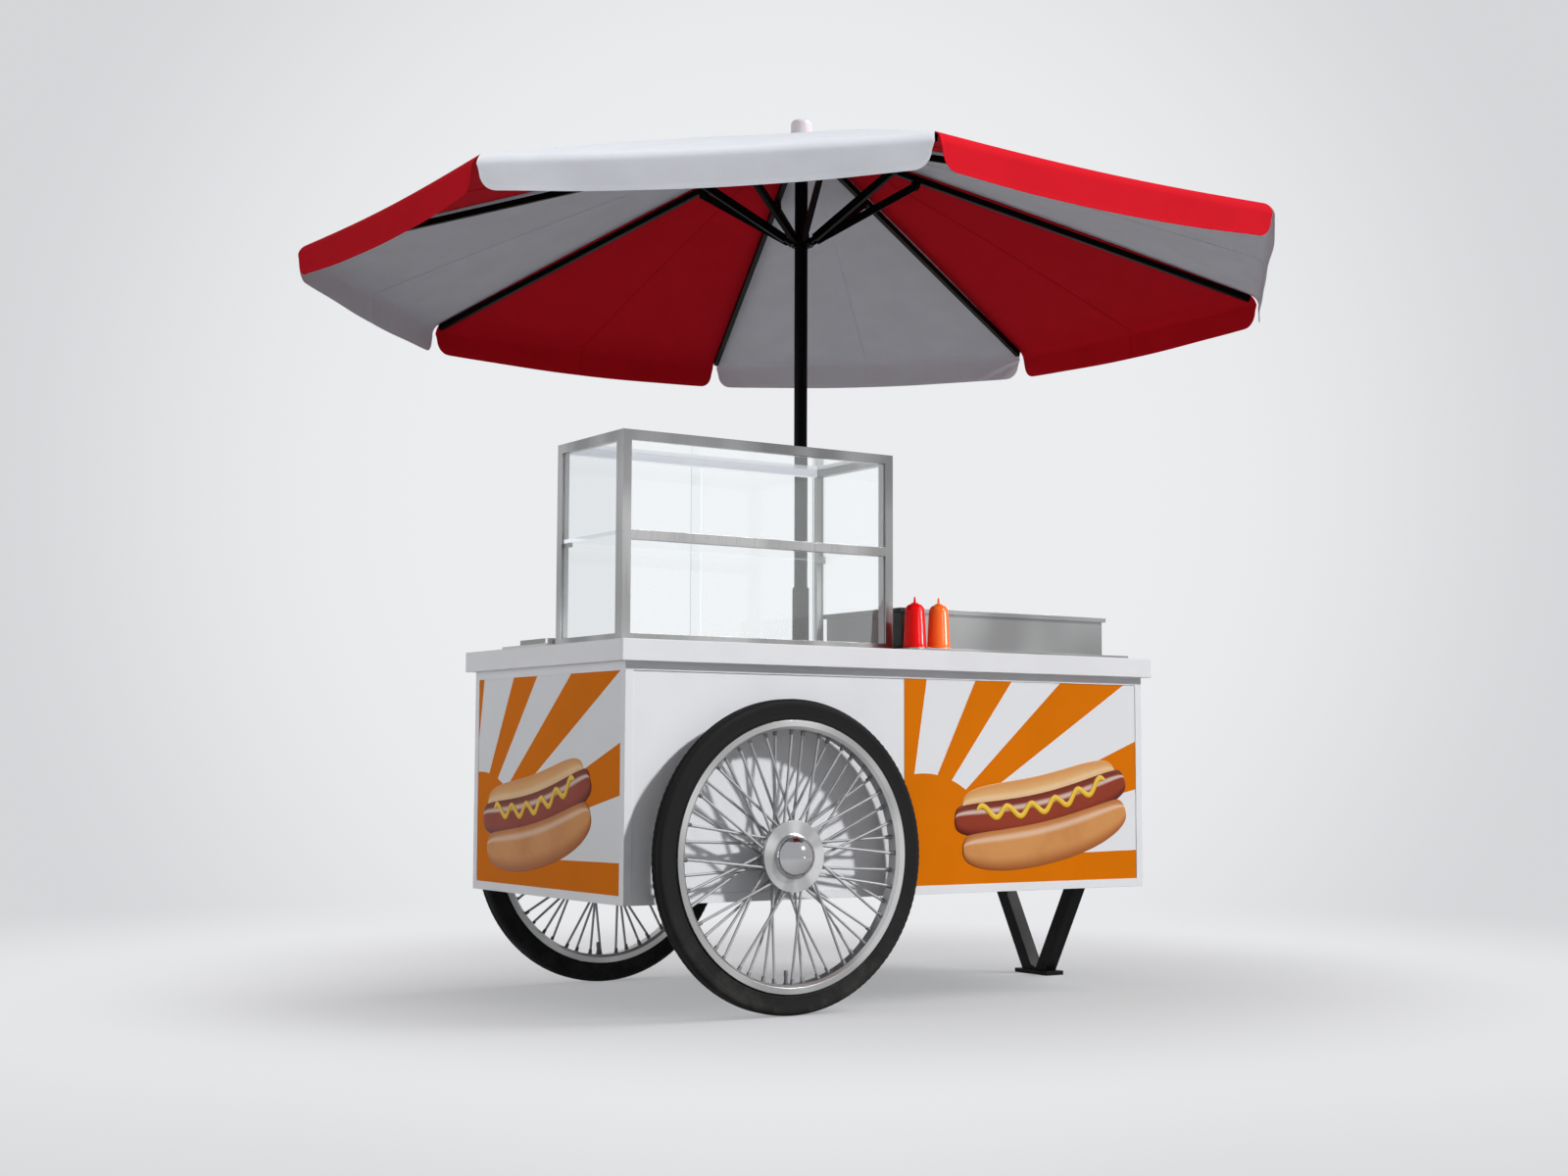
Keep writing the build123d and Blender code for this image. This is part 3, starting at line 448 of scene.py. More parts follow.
def brushed(name, base, streaks, bands, gloss, edge=0.001, circle=None, painted_dark_end=None):
    """Brushed metal with soft bands of painted reflection. With circle, the streaks run round the wheel's
    axle at that place.
    With the dark end given, the metal is painted nearly black between those two places along X: a painted
    reflection of a dark neighbour."""
    tree, shader = new_material(name)
    place = object_place(tree)
    if circle is not None:
        split = axes(tree, vector_node(tree, "SUBTRACT", place, circle))
        reach = distance(tree, split["X"], split["Z"])
        across = math_node(tree, "DIVIDE", split["X"], reach)
        rise = math_node(tree, "DIVIDE", split["Z"], reach)
        place = add(tree, "ShaderNodeCombineXYZ", {"X": across, "Y": rise, "Z": reach}).outputs[0]
    lines = use_effect(
        tree, "Brushed streaks",
        {"Place": place, "Stretch": streaks, "Bands": bands, "Low": gloss[0], "High": gloss[1]},
    )
    edges = use_effect(tree, "Soft edges", {"Radius": edge})
    # Painted reflection: broad soft bands paint the metal darker, standing in for a dark surrounding
    # mirrored in it.
    shade = mix_colour(tree, ramp(tree, lines["Band"], 0.32, 0.68), shade_of(base, 0.62), base)
    fine = math_node(tree, "MULTIPLY", ramp(tree, lines["Tone"], 0.3, 0.7), 0.04)
    shade = mix_colour(tree, fine, shade, shade_of(base, 0.5))
    # Painted reflection: between the two places the metal is painted nearly black, as if it mirrored a dark
    # neighbour.
    if painted_dark_end is not None:
        along = axes(tree, place)["X"]
        shade = mix_colour(tree, ramp(tree, along, *painted_dark_end), shade_of(base, 0.1), shade)
    feed(tree, shader, {"Base Color": shade, "Roughness": lines["Roughness"], "Metallic": 1.0})
    set_bump(tree, shader, lines["Height"], strength=0.02, depth=0.0004, normal=edges["Normal"])


def glazing_steel(name, base, plastic):
    """Brushed steel of the case, with white plastic on the rails at its back that hold the sliding doors.
    The plastic also glows with a painted light that lightens these shaded rails.
    """
    brushed(name, base, upright_streaks, (8.0, 8.0, 2.2), (0.26, 0.38))
    tree = finish_of(name).node_tree
    shader = tree.nodes["Principled BSDF"]
    low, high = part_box("case_frame")
    middle = (low + high) / 2
    rail = 0.0245
    split = axes(tree, object_place(tree))
    aside = math_node(tree, "ABSOLUTE", math_node(tree, "SUBTRACT", split["X"], middle.x))
    level = math_node(tree, "ABSOLUTE", math_node(tree, "SUBTRACT", split["Z"], middle.z))
    between = math_node(tree, "LESS_THAN", aside, high.x - middle.x - rail)
    at_back = math_node(tree, "GREATER_THAN", split["Y"], high.y - rail)
    at_end = math_node(tree, "GREATER_THAN", level, high.z - middle.z - rail)
    track = math_node(tree, "MULTIPLY", math_node(tree, "MULTIPLY", between, at_back), at_end)
    steel = shader.inputs["Base Color"].links[0].from_socket
    feed(tree, shader, {
        "Base Color": mix_colour(tree, track, steel, plastic),
        "Metallic": math_node(tree, "SUBTRACT", 1.0, track),
        # Painted light: the plastic on the back rails glows though it is no lamp.
        "Emission Color": mix_colour(tree, track, (0, 0, 0), (0.3, 0.31, 0.345)),
        "Emission Strength": 1.0,
    })


def polished(name, base, gloss):
    """Plated metal with a faint uneven polish."""
    tree, shader = new_material(name)
    grain = use_effect(tree, "Fine grain", {"Scale": 60.0, "Low": gloss[0], "High": gloss[1]})
    shade = mix_colour(tree, grain["Cloud"], shade_of(base, 0.9), base)
    feed(tree, shader, {"Base Color": shade, "Roughness": grain["Roughness"], "Metallic": 1.0})


def clear_glass(name, thin_axis=None, edge=0.0):
    """Clear glass with faint smears that light passes.
    Its cut edges, across thin_axis, glow as pale as edge: a painted light that stands in for light caught in
    the cut edges."""
    tree, shader = new_material(name)
    if thin_axis:
        # Painted light: the cut edges glow though they are no lamp.
        facing = add(tree, "ShaderNodeNewGeometry").outputs["True Normal"]
        along = math_node(tree, "ABSOLUTE", axes(tree, facing)[thin_axis])
        cut = math_node(tree, "LESS_THAN", along, 0.5)
        pale = mix_colour(tree, cut, (0.0, 0.0, 0.0), (edge, 1.05 * edge, 1.1 * edge))
        feed(tree, shader, {"Emission Color": pale, "Emission Strength": 1.0})
    grain = use_effect(tree, "Fine grain", {"Scale": 30.0, "Low": 0.0, "High": 0.02})
    feed(tree, shader, {
        "Base Color": (0.97, 0.985, 0.985, 1.0), "Roughness": grain["Roughness"],
        "Transmission Weight": 1.0, "IOR": 1.45,
    })
    rays = add(tree, "ShaderNodeLightPath").outputs
    passing = math_node(tree, "MAXIMUM", rays["Is Shadow Ray"], rays["Is Diffuse Ray"])
    clear = add(tree, "ShaderNodeBsdfTransparent", {"Color": (0.96, 0.975, 0.975, 1.0)})
    mix = add(tree, "ShaderNodeMixShader", {0: passing, 1: shader.outputs[0], 2: clear.outputs[0]})
    feed(tree, tree.nodes["Material Output"], {"Surface": mix.outputs[0]})


def canvas(name, base):
    """Woven canvas with a doubled hem and stitching."""
    tree, shader = new_material(name)
    weave = use_effect(tree, "Canvas weave")
    shade = mottled(tree, weave["Shade"], base, 0.95)
    doubled = math_node(tree, "MULTIPLY", weave["Hem"], 0.35)
    shade = mix_colour(tree, doubled, shade, shade_of(base, 1.08))
    feed(tree, shader, {"Base Color": shade, "Roughness": 0.85, "Specular IOR Level": 0.05})
    set_bump(tree, shader, weave["Height"], strength=0.25, depth=0.0008)


def sun_print(name, corner, across, colours, sizes, stretch=1.0, shift=0.0):
    """Printed film with a sun at its lower left and rays. across points to the right on the print."""
    tree, shader = new_material(name)
    shifted = vector_node(tree, "SUBTRACT", object_place(tree), corner)
    right = math_node(tree, "ADD", vector_node(tree, "DOT_PRODUCT", shifted, across), shift)
    right = math_node(tree, "DIVIDE", right, stretch)
    above = axes(tree, shifted)["Z"]
    ray_right = math_node(tree, "SUBTRACT", right, sizes.ray_left)
    ray_above = math_node(tree, "SUBTRACT", above, sizes.ray_up)
    turn = math_node(tree, "ARCTAN2", ray_above, ray_right)
    sun_right = math_node(tree, "SUBTRACT", right, sizes.sun_left)
    sun_above = math_node(tree, "SUBTRACT", above, sizes.sun_up)
    inked = math_node(tree, "LESS_THAN", distance(tree, sun_right, sun_above), sizes.sun_radius)
    for low, high in ray_edges:
        past_low = math_node(tree, "GREATER_THAN", turn, math.radians(low))
        before_high = math_node(tree, "LESS_THAN", turn, math.radians(high))
        inked = math_node(tree, "MAXIMUM", inked, math_node(tree, "MULTIPLY", past_low, before_high))
    grain = use_effect(tree, "Fine grain", {"Scale": 500.0, "Low": 0.34, "High": 0.46})
    ink = mottled(tree, grain["Cloud"], colours.orange, 0.95)
    shade = mix_colour(tree, inked, colours.paper, ink)
    feed(tree, shader, {"Base Color": shade, "Roughness": grain["Roughness"], "Specular IOR Level": 0.03})
    set_bump(tree, shader, grain["Height"], strength=0.05, depth=0.0004)


def food_print(name, base, edge, shine):
    """Printed food: darker towards its outline, with a glint along its upper side."""
    glint_up = 0.42
    glint_colour = (0.95, 0.85, 0.74)
    tree, shader = new_material(name)
    across = axes(tree, add(tree, "ShaderNodeUVMap", uv_map="print").outputs["UV"])["Y"]
    grain = use_effect(tree, "Fine grain", {"Scale": 200.0, "Low": 0.3, "High": 0.42})
    shade = mix_colour(tree, ramp(tree, math_node(tree, "ABSOLUTE", across), 0.35, 1.0), base, edge)
    patch = math_node(tree, "MULTIPLY", ramp(tree, grain["Cloud"], 0.4, 0.75), 0.4)
    shade = mix_colour(tree, patch, shade, edge)
    from_glint = math_node(tree, "ABSOLUTE", math_node(tree, "SUBTRACT", across, glint_up))
    glint = math_node(tree, "MULTIPLY", ramp(tree, from_glint, 0.2, 0.02), shine)
    shade = mix_colour(tree, glint, shade, glint_colour)
    feed(tree, shader, {"Base Color": shade, "Roughness": grain["Roughness"], "Specular IOR Level": 0.15})


def coat_nodes(finish, *nodes):
    """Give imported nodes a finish."""
    for name in nodes:
        slots = frame["nodes"][name].data.materials
        slots.clear()
        slots.append(finish_of(finish))


# Meshes

def new_piece(name, vertices, faces, finishes, body, slot, sharp, uv=None, face_finish=None):
    """A mesh piece that rides on a body, with edges sharper than an angle in degrees kept sharp.
    uv is the map's name and one pair for each vertex."""
    mesh = bpy.data.meshes.new(name)
    mesh.from_pydata([tuple(vertex) for vertex in vertices], [], faces)
    for finish in finishes:
        mesh.materials.append(finish_of(finish))
    if face_finish is not None:
        mesh.polygons.foreach_set("material_index", face_finish)
    if uv is not None:
        layer = mesh.uv_layers.new(name=uv[0])
        for loop in mesh.loops:
            layer.data[loop.index].uv = uv[1][loop.vertex_index]
    mesh.validate()
    mesh.shade_smooth()
    mesh.set_sharp_from_angle(angle=math.radians(sharp))
    piece = bpy.data.objects.new(name, mesh)
    bpy.context.scene.collection.objects.link(piece)
    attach(piece, body)
    return piece


def grid_faces(rows, columns, wrap=False, start=0):
    """Quads of a grid of vertices, row by row. With wrap, the last column meets the first."""
    faces = []
    for i in range(rows - 1):
        for j in range(columns if wrap else columns - 1):
            k = (j + 1) % columns
            a = start + i * columns
            b = a + columns
            faces.append((a + j, a + k, b + k, b + j))
    return faces


def lathe(profile, steps, place):
    """Turn (radius, height) points about the Z axis of a placing matrix, with both ends closed."""
    vertices = []
    for radius, height in profile:
        for k in range(steps):
            turn = math.tau * k / steps
            vertices.append(place @ Vector((radius * math.cos(turn), radius * math.sin(turn), height)))
    faces = grid_faces(len(profile), steps, wrap=True)
    faces.append(tuple(reversed(range(steps))))
    last = (len(profile) - 1) * steps
    faces.append(tuple(range(last, last + steps)))
    return vertices, faces


def merge(parts):
    """Join several (vertices, faces) into one."""
    vertices = []
    faces = []
    for part_vertices, part_faces in parts:
        start = len(vertices)
        vertices += part_vertices
        faces += [tuple(start + k for k in face) for face in part_faces]
    return vertices, faces


def thick_sheet(points, thickness):
    """A closed thin sheet from a grid of points. The second layer lies below the first."""
    rows = len(points)
    columns = len(points[0])
    top = [point for row in points for point in row]
    low = []
    for i in range(rows):
        for j in range(columns):
            along = points[min(i + 1, rows - 1)][j] - points[max(i - 1, 0)][j]
            across = points[i][min(j + 1, columns - 1)] - points[i][max(j - 1, 0)]
            normal = across.cross(along).normalized()
            low.append(points[i][j] - thickness * normal)
    size = rows * columns
    faces = [tuple(reversed(face)) for face in grid_faces(rows, columns)]
    faces += grid_faces(rows, columns, start=size)
    rim = list(range(columns)) + [i * columns + columns - 1 for i in range(1, rows)]
    rim += [size - 1 - j for j in range(1, columns)] + [i * columns for i in range(rows - 2, 0, -1)]
    for a, b in zip(rim, rim[1:] + rim[:1]):
        faces.append((a, b, b + size, a + size))
    return top + low, faces


def axis_place(origin, direction):
    """A matrix that puts the Z axis at origin along direction."""
    turn = upward.rotation_difference(Vector(direction))
    return Matrix.Translation(Vector(origin)) @ turn.to_matrix().to_4x4()


# Canopy

def rib_turn(joint):
    """Direction of a rib as an angle about the pole."""
    place = Vector(joint["pos_m"])
    return math.atan2(place.y, place.x)


def gore_point(sizes, way, share, rim_share, rim_radius, rim_height, apex):
    """A point of the roof in a rib's own frame: outwards, sideways and up."""
    out = rim_radius * ((1 - share) + share * math.cos(half_gore) ** 2)
    side = rim_radius * share * math.cos(half_gore) * math.sin(half_gore)
    sag = sizes.gore_sag * rim_share ** 2 * math.sin(share * math.pi / 2)
    bow = sizes.roof_bow * math.sin(rim_share * math.pi)
    height = apex - rim_share * (apex - rim_height) - sag + bow
    return Vector((rim_share * out, way * rim_share * side, height))


def gore_half(sizes, way, rim_radius, rim_height, apex):
    """Half a gore with its flap, from the rib to just under the next half.
    Returns a grid of points and the cloth coordinates of each of them."""
    columns = 30
    crowding = 1.7
    roof_rows = 24
    fold_rows = 9
    flap_rows = 9
    flat = rim_radius * math.cos(half_gore)
    edge = rim_radius * math.sin(half_gore)
    pitch = math.atan((apex - rim_height) / flat)
    slant = math.hypot(flat, apex - rim_height)
    last_turn = math.pi / 2 + sizes.valance_lean
    inset = sizes.shoulder * math.tan((last_turn - pitch) / 2)
    along_rib = Vector((1, 0, 0))
    outward = Vector((math.cos(half_gore), way * math.sin(half_gore), 0))
    aside = Vector((-math.sin(half_gore), way * math.cos(half_gore), 0))
    hanging = math.cos(last_turn) * outward - math.sin(last_turn) * upward
    fold_length = sizes.shoulder * (last_turn - pitch)
    start_share = sizes.cloth_start / rim_radius
    end_share = 1 - inset / slant
    corner = sizes.valance_corner
    points = [[] for _ in range(roof_rows + fold_rows + flap_rows)]
    cloth = [[] for _ in points]
    for j in range(columns + 1):
        share = (j / columns) ** crowding
        beside = share * edge
        depth = sizes.valance + sizes.hem_bow * math.sin(share * math.pi / 2) - inset
        if beside < corner:
            depth -= corner - math.sqrt(corner ** 2 - (corner - beside) ** 2)
        total = depth + fold_length
        over_rib = math.exp(-beside / sizes.corner_reach)
        flare = sizes.corner_flare * ((1 - share) * along_rib + share * outward)
        pull = over_rib * (flare - sizes.corner_droop * upward)
        for i in range(roof_rows):
            rim_share = start_share + (end_share - start_share) * i / (roof_rows - 1)
            points[i].append(gore_point(sizes, way, share, rim_share, rim_radius, rim_height, apex))
            cloth[i].append((way * beside * rim_share, total + slant * (end_share - rim_share)))
        root = points[roof_rows - 1][j]
        for i in range(fold_rows):
            share_down = (i + 1) / fold_rows
            turn = pitch + (last_turn - pitch) * share_down
            reach = sizes.shoulder * (math.sin(turn) - math.sin(pitch))
            drop = sizes.shoulder * (math.cos(pitch) - math.cos(turn))
            points[roof_rows + i].append(root + reach * outward - drop * upward + share_down * pull)
            cloth[roof_rows + i].append((way * beside, total - sizes.shoulder * (turn - pitch)))
        root = points[roof_rows + fold_rows - 1][j]
        for i in range(flap_rows):
            share_down = (i + 1) / flap_rows
            gap = sizes.valance_notch * share_down * max(0.0, 1 - beside / sizes.notch_reach)
            wave = sizes.valance_wave * share_down * math.sin(3 * math.pi * share) * (1 - share)
            point = root + share_down * depth * hanging + gap * aside + wave * outward
            points[roof_rows + fold_rows + i].append(point)
            cloth[roof_rows + fold_rows + i].append((way * beside, depth * (1 - share_down)))
    tuck_under(sizes, points, cloth, way, roof_rows, outward, aside)
    return points, cloth


def tuck_under(sizes, points, cloth, way, roof_rows, outward, aside):
    """Lead the middle edge of a half gore under the next half, by a sharp step and a narrow strip."""
    step = 0.0001
    least_tuck = 0.001
    for i, (row, cloth_row) in enumerate(zip(points, cloth)):
        tuck = least_tuck + sizes.seam_tuck * max(0.0, 1 - i / (roof_rows - 1))
        edge_point = row[-1] - layer_gap * (upward if i < roof_rows else outward)
        across, along = cloth_row[-1]
        for reach in (step, tuck):
            row.append(edge_point + reach * aside)
            cloth_row.append((across + way * reach, along))


def make_gores(sizes):
    """Eight sheets of canvas, one on each rib, that meet in the middle of the gores."""
    rim_radius = canopy_high.x / widest_rib
    rim_height = canopy_low.z + sizes.rim_above_hem
    fall = (finial_bottom - rim_height) / (rim_radius - finial_hole)
    apex = finial_bottom + fall * finial_hole
    for joint in rib_joints:
        number_of_rib = int(joint["child"].split("_")[1])
        turn = Matrix.Rotation(rib_turn(joint), 4, "Z")
        parts = []
        face_finish = []
        cloth_map = []
        for way in (-1, 1):
            points, cloth = gore_half(sizes, way, rim_radius, rim_height, apex)
            points = [[turn @ point for point in row] for row in points]
            if way < 0:
                points = [row[::-1] for row in points]
                cloth = [row[::-1] for row in cloth]
            vertices, faces = thick_sheet(points, sizes.cloth)
            parts.append((vertices, faces))
            gore = number_of_rib if way > 0 else number_of_rib - 1
            face_finish += [gore % 2] * len(faces)
            cloth_map += [pair for row in cloth for pair in row] * 2
        piece = new_piece(
            f"canopy_gore_{number_of_rib}", *merge(parts), ("Red canvas", "White canvas"), joint["child"],
            "red_fabric", 50.0, ("cloth", cloth_map), face_finish,
        )
        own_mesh(piece)
        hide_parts("canopy_red", "canopy_white")
    make_crown(sizes, apex, fall)


def make_crown(sizes, apex, fall):
    """A small cloth crown that covers the start of the gores around the pole."""
    steps = 48
    rings = 4
    off_seam = 0.1
    points = []
    cloth = []
    for i in range(rings + 1):
        radius = sizes.crown_hole + (sizes.crown - sizes.crown_hole) * i / rings
        height = apex + layer_gap - fall * radius
        row = []
        for k in range(steps + 1):
            turn = rib_turn(rib_joints[0]) + math.tau * k / steps
            row.append(Vector((radius * math.cos(turn), radius * math.sin(turn), height)))
            cloth.append((off_seam + radius * k / steps, sizes.crown - radius))
        points.append(row)
    vertices, faces = thick_sheet(points, sizes.cloth)
    per_gore = steps // len(rib_joints)
    face_finish = []
    for face in faces:
        column = min(index % (steps + 1) for index in face)
        face_finish.append((column // per_gore + 1) % 2)
    piece = new_piece(
        "canopy_crown", vertices, faces, ("Red canvas", "White canvas"), "umbrella", "red_fabric", 50.0,
        ("cloth", cloth * 2), face_finish,
    )


# Wheels

def wheel_facts(side):
    """Middle of a wheel, and the radius and half the width of its tyre."""
    low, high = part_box(side + "_tyre")
    return (low + high) / 2, (high.z - low.z) / 2, (high.y - low.y) / 2


def rim_radius_of(side):
    """Radius of a wheel's rim."""
    low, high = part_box(side + "_rim")
    return (high.z - low.z) / 2


def tyre_profile(rim_radius, radius, half, sizes):
    """Points across a tyre as (radius, place across, notched): bead, ringed sidewall, shoulder and tread."""
    bead_inset = 0.0037
    bead_gap = 0.0005
    wall_steps = 14
    ring_rows = (2, 3, 12)
    arc_steps = 10
    notch_rows = (4, 5, 6, 7, 8)
    groove_rows = (3, 4, 7, 8)
    corner = sizes.tyre_shoulder
    start = rim_radius + bead_gap
    top = radius - corner
    profile = []
    for i in range(wall_steps + 1):
        part = i / wall_steps
        ring = sizes.wall_ring if i in ring_rows else 0.0
        profile.append((start + part * (top - start), half - bead_inset * (1 - part) + ring, False))
    for i in range(1, arc_steps + 1):
        turn = math.pi / 2 * i / arc_steps
        across = half - corner + corner * math.cos(turn)
        profile.append((top + corner * math.sin(turn), across, i in notch_rows))
    for i in range(1, arc_steps + 1):
        groove = sizes.tread_groove if i in groove_rows else 0.0
        profile.append((radius - groove, (half - corner) * (1 - i / arc_steps), False))
    mirrored = [(reach, -across, notched) for reach, across, notched in reversed(profile[:-1])]
    return profile + mirrored


def make_tyre(side, sizes):
    """A moulded tyre with sidewall rings, tread grooves and shoulder notches."""
    middle, radius, half = wheel_facts(side)
    profile = tyre_profile(rim_radius_of(side), radius, half - sizes.wall_ring, sizes)
    steps = sizes.tread_notches * 3
    vertices = []
    for reach, across, notched in profile:
        for k in range(steps):
            turn = math.tau * k / steps
            cut = reach - sizes.notch_depth if notched and k % 3 == 0 else reach
            around = Vector((cut * math.cos(turn), across, cut * math.sin(turn)))
            vertices.append(middle + around)
    faces = grid_faces(len(profile), steps, wrap=True)
    last = (len(profile) - 1) * steps
    faces += [(last + k, last + (k + 1) % steps, (k + 1) % steps, k) for k in range(steps)]
    tyre = new_piece(side + "_tyre_tread", vertices, faces, ("Rubber",), side + "_wheel", "tyre", 28.0)
    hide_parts(side + "_tyre")


def spoke_ends(side):
    """Outer end and inward direction of every wire spoke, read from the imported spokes."""
    mesh = frame["nodes"][side + "_spokes"].data
    middle = wheel_facts(side)[0]
    places = {}
    for vertex in mesh.vertices:
        places.setdefault(tuple(round(c, 6) for c in vertex.co), []).append(vertex.index)
    leader = list(range(len(mesh.vertices)))

    def find(index):
        while leader[index] != index:
            leader[index] = leader[leader[index]]
            index = leader[index]
        return index

    for same in places.values():
        for index in same[1:]:
            leader[find(index)] = find(same[0])
    for edge in mesh.edges:
        leader[find(edge.vertices[0])] = find(edge.vertices[1])
    wires = {}
    for vertex in mesh.vertices:
        wires.setdefault(find(vertex.index), []).append(vertex.co)
    ends = []
    for wire in wires.values():
        ordered = sorted(wire, key=lambda co: math.hypot(co.x - middle.x, co.z - middle.z))
        count = max(1, len(ordered) // 3)
        inner = sum(ordered[:count], Vector()) / count
        outer = sum(ordered[-count:], Vector()) / count
        ends.append((outer, (inner - outer).normalized()))
    return ends


def make_nipples(side):
    """A threaded nipple on the outer end of each spoke."""
    profile = [
        (0.0039, 0.0), (0.0058, 0.0002), (0.0058, 0.005), (0.005, 0.006), (0.0048, 0.014), (0.0037, 0.0152),
    ]
    parts = [lathe(profile, 8, axis_place(end, inward)) for end, inward in spoke_ends(side)]
    new_piece(side + "_nipples", *merge(parts), ("Dull nickel",), side + "_wheel", "chrome", 40.0)


def make_valve(side):
    """A tyre valve with its cap, standing inwards from the rim near the lowest point."""
    between_spokes = 0.012
    rim_depth = 0.0225
    middle = wheel_facts(side)[0]
    seat = middle - Vector((between_spokes, 0, rim_radius_of(side) - rim_depth))
    profile = [
        (0.0075, 0.0), (0.0075, 0.002), (0.005, 0.0035), (0.0042, 0.018), (0.0042, 0.02), (0.0052, 0.0202),
        (0.0052, 0.031), (0.0042, 0.033), (0.001, 0.0335),
    ]
    stem = lathe(profile, 16, axis_place(seat, upward))
    new_piece(side + "_valve", *stem, ("Dull nickel",), side + "_wheel", "chrome", 40.0)


# Bottles

def make_bottle(name, finish, slot):
    """A squeeze bottle with a foot ring, a tapered body, a ribbed collar and a fine nozzle."""
    low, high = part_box(name)
    middle = (low + high) / 2
    place = Matrix.Translation(Vector((middle.x, middle.y, low.z)))
    wide = (high.x - low.x) / 2
    tall = high.z - low.z
    foot = 0.013
    taper_wide = wide - 0.0016
    taper_start = foot + 0.0012
    shoulder = 0.105
    narrow = 0.026
    neck = 0.0108
    dome = 0.0195
    body = [
        (wide - 0.003, 0.0), (wide - 0.0008, 0.0008), (wide, 0.003), (wide, foot - 0.001),
        (wide - 0.0012, foot), (taper_wide, taper_start),
    ]
    for i in range(1, 13):
        part = i / 12
        radius = taper_wide - part * (taper_wide - narrow)
        body.append((radius, taper_start + part * (shoulder - taper_start)))
    for i in range(1, 9):
        turn = math.pi / 2 * i / 8
        body.append((neck + (narrow - neck) * math.cos(turn), shoulder + dome * math.sin(turn)))
    body.append((0.0095, shoulder + dome + 0.0002))
    bottle = new_piece(name + "_body", *lathe(body, 64, place), (finish,), name, slot, 30.0)
    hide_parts(name)
    steps = 96
    rib_cut = 0.0005
    spout = 0.0046
    rounding = 0.005
    collar = shoulder + dome + 0.0003
    lid = collar + 0.0019
    lid_rise = 0.0016
    nozzle = [(0.009, collar), (0.0103, collar + 0.0002), (0.0104, collar + 0.0014), (spout + rounding, lid)]
    for i in range(1, 8):
        turn = math.pi / 2 * i / 8
        nozzle.append((spout + rounding * math.cos(turn), lid + lid_rise * math.sin(turn)))
    nozzle += [
        (0.0042, collar + 0.0038), (0.0035, collar + 0.006), (0.0022, tall - 0.0012),
        (0.0019, tall - 0.0003), (0.0012, tall), (0.001, tall - 0.002),
    ]
    vertices, faces = lathe(nozzle, steps, place)
    for row in (1, 2):
        for k in range(0, steps, 3):
            vertex = vertices[row * steps + k]
            outward = Vector((vertex.x - middle.x, vertex.y - middle.y, 0))
            vertices[row * steps + k] = vertex - rib_cut * outward.normalized()
    new_piece(name + "_nozzle", vertices, faces, (finish,), name, slot, 30.0)


# Printed hot dog

def turned(middle, tilt, point):
    """A point of the figure's own plane, as right and up on the print."""
    right = middle[0] + point.x * math.cos(tilt) - point.y * math.sin(tilt)
    above = middle[1] + point.x * math.sin(tilt) + point.y * math.cos(tilt)
    return right, above


def print_piece(name, vertices, pairs, columns, finish):
    """A raised piece of a print from a grid of points, closed by a flat back."""
    rows = len(vertices) // columns
    faces = [tuple(reversed(face)) for face in grid_faces(rows, columns)]
    for a in range(0, (rows - 1) * columns, columns):
        b = a + columns
        faces.append((a, b - 1, b + columns - 1, b))
    new_piece(name, vertices, faces, (finish,), "cart", "print", 60.0, ("print", pairs))


def pillow(name, on_print, middle, span, wide, bend, rise, finish, tilt, blunt):
    """A bent, domed shape on a print. on_print turns right, up and out into a place on the cart."""
    rows = 56
    columns = 18
    vertices = []
    pairs = []
    for i in range(rows + 1):
        s = -math.cos(math.pi * i / rows)
        half = 0.5 * wide * max(0.0, 1 - abs(s) ** blunt) ** (1 / blunt)
        centre = Vector((0.5 * span * s, bend * s * s))
        slope = math.atan2(2 * bend * s, 0.5 * span)
        aside = Vector((-math.sin(slope), math.cos(slope)))
        for j in range(columns + 1):
            t = math.cos(math.pi * j / columns)
            swell = math.sqrt(max(0.0, 1 - t * t)) * math.sqrt(2 * half / wide)
            vertices.append(on_print(*turned(middle, tilt, centre + aside * (t * half)), rise * swell))
            pairs.append((s, t))
    print_piece(name, vertices, pairs, columns + 1, finish)


def squiggle(name, on_print, middle, span, bend, base, finish, tilt):
    """A wavy line of mustard with a half-round section."""
    steps = 150
    end_steps = 5
    ring = 10
    thick = 0.008
    crest = 0.0016
    waves = 5.5
    swing = 0.0145
    route = []
    for i in range(steps + 1):
        s = 2 * i / steps - 1
        phase = math.pi * waves * (s + 1)
        route.append(Vector((0.5 * span * s, bend * s * s + swing * math.sin(phase))))
    vertices = []
    pairs = []
    for i, flat in enumerate(route):
        along = (route[min(i + 1, steps)] - route[max(i - 1, 0)]).normalized()
        aside = Vector((-along.y, along.x))
        end = min(1.0, math.sqrt(max(0.02, min(i, steps - i) / end_steps)))
        for j in range(ring + 1):
            turn = math.pi * j / ring
            point = flat + aside * (thick * end * math.cos(turn))
            vertices.append(on_print(*turned(middle, tilt, point), base + crest * end * math.sin(turn)))
            pairs.append((i / steps, math.cos(turn)))
    print_piece(name, vertices, pairs, ring + 1, finish)


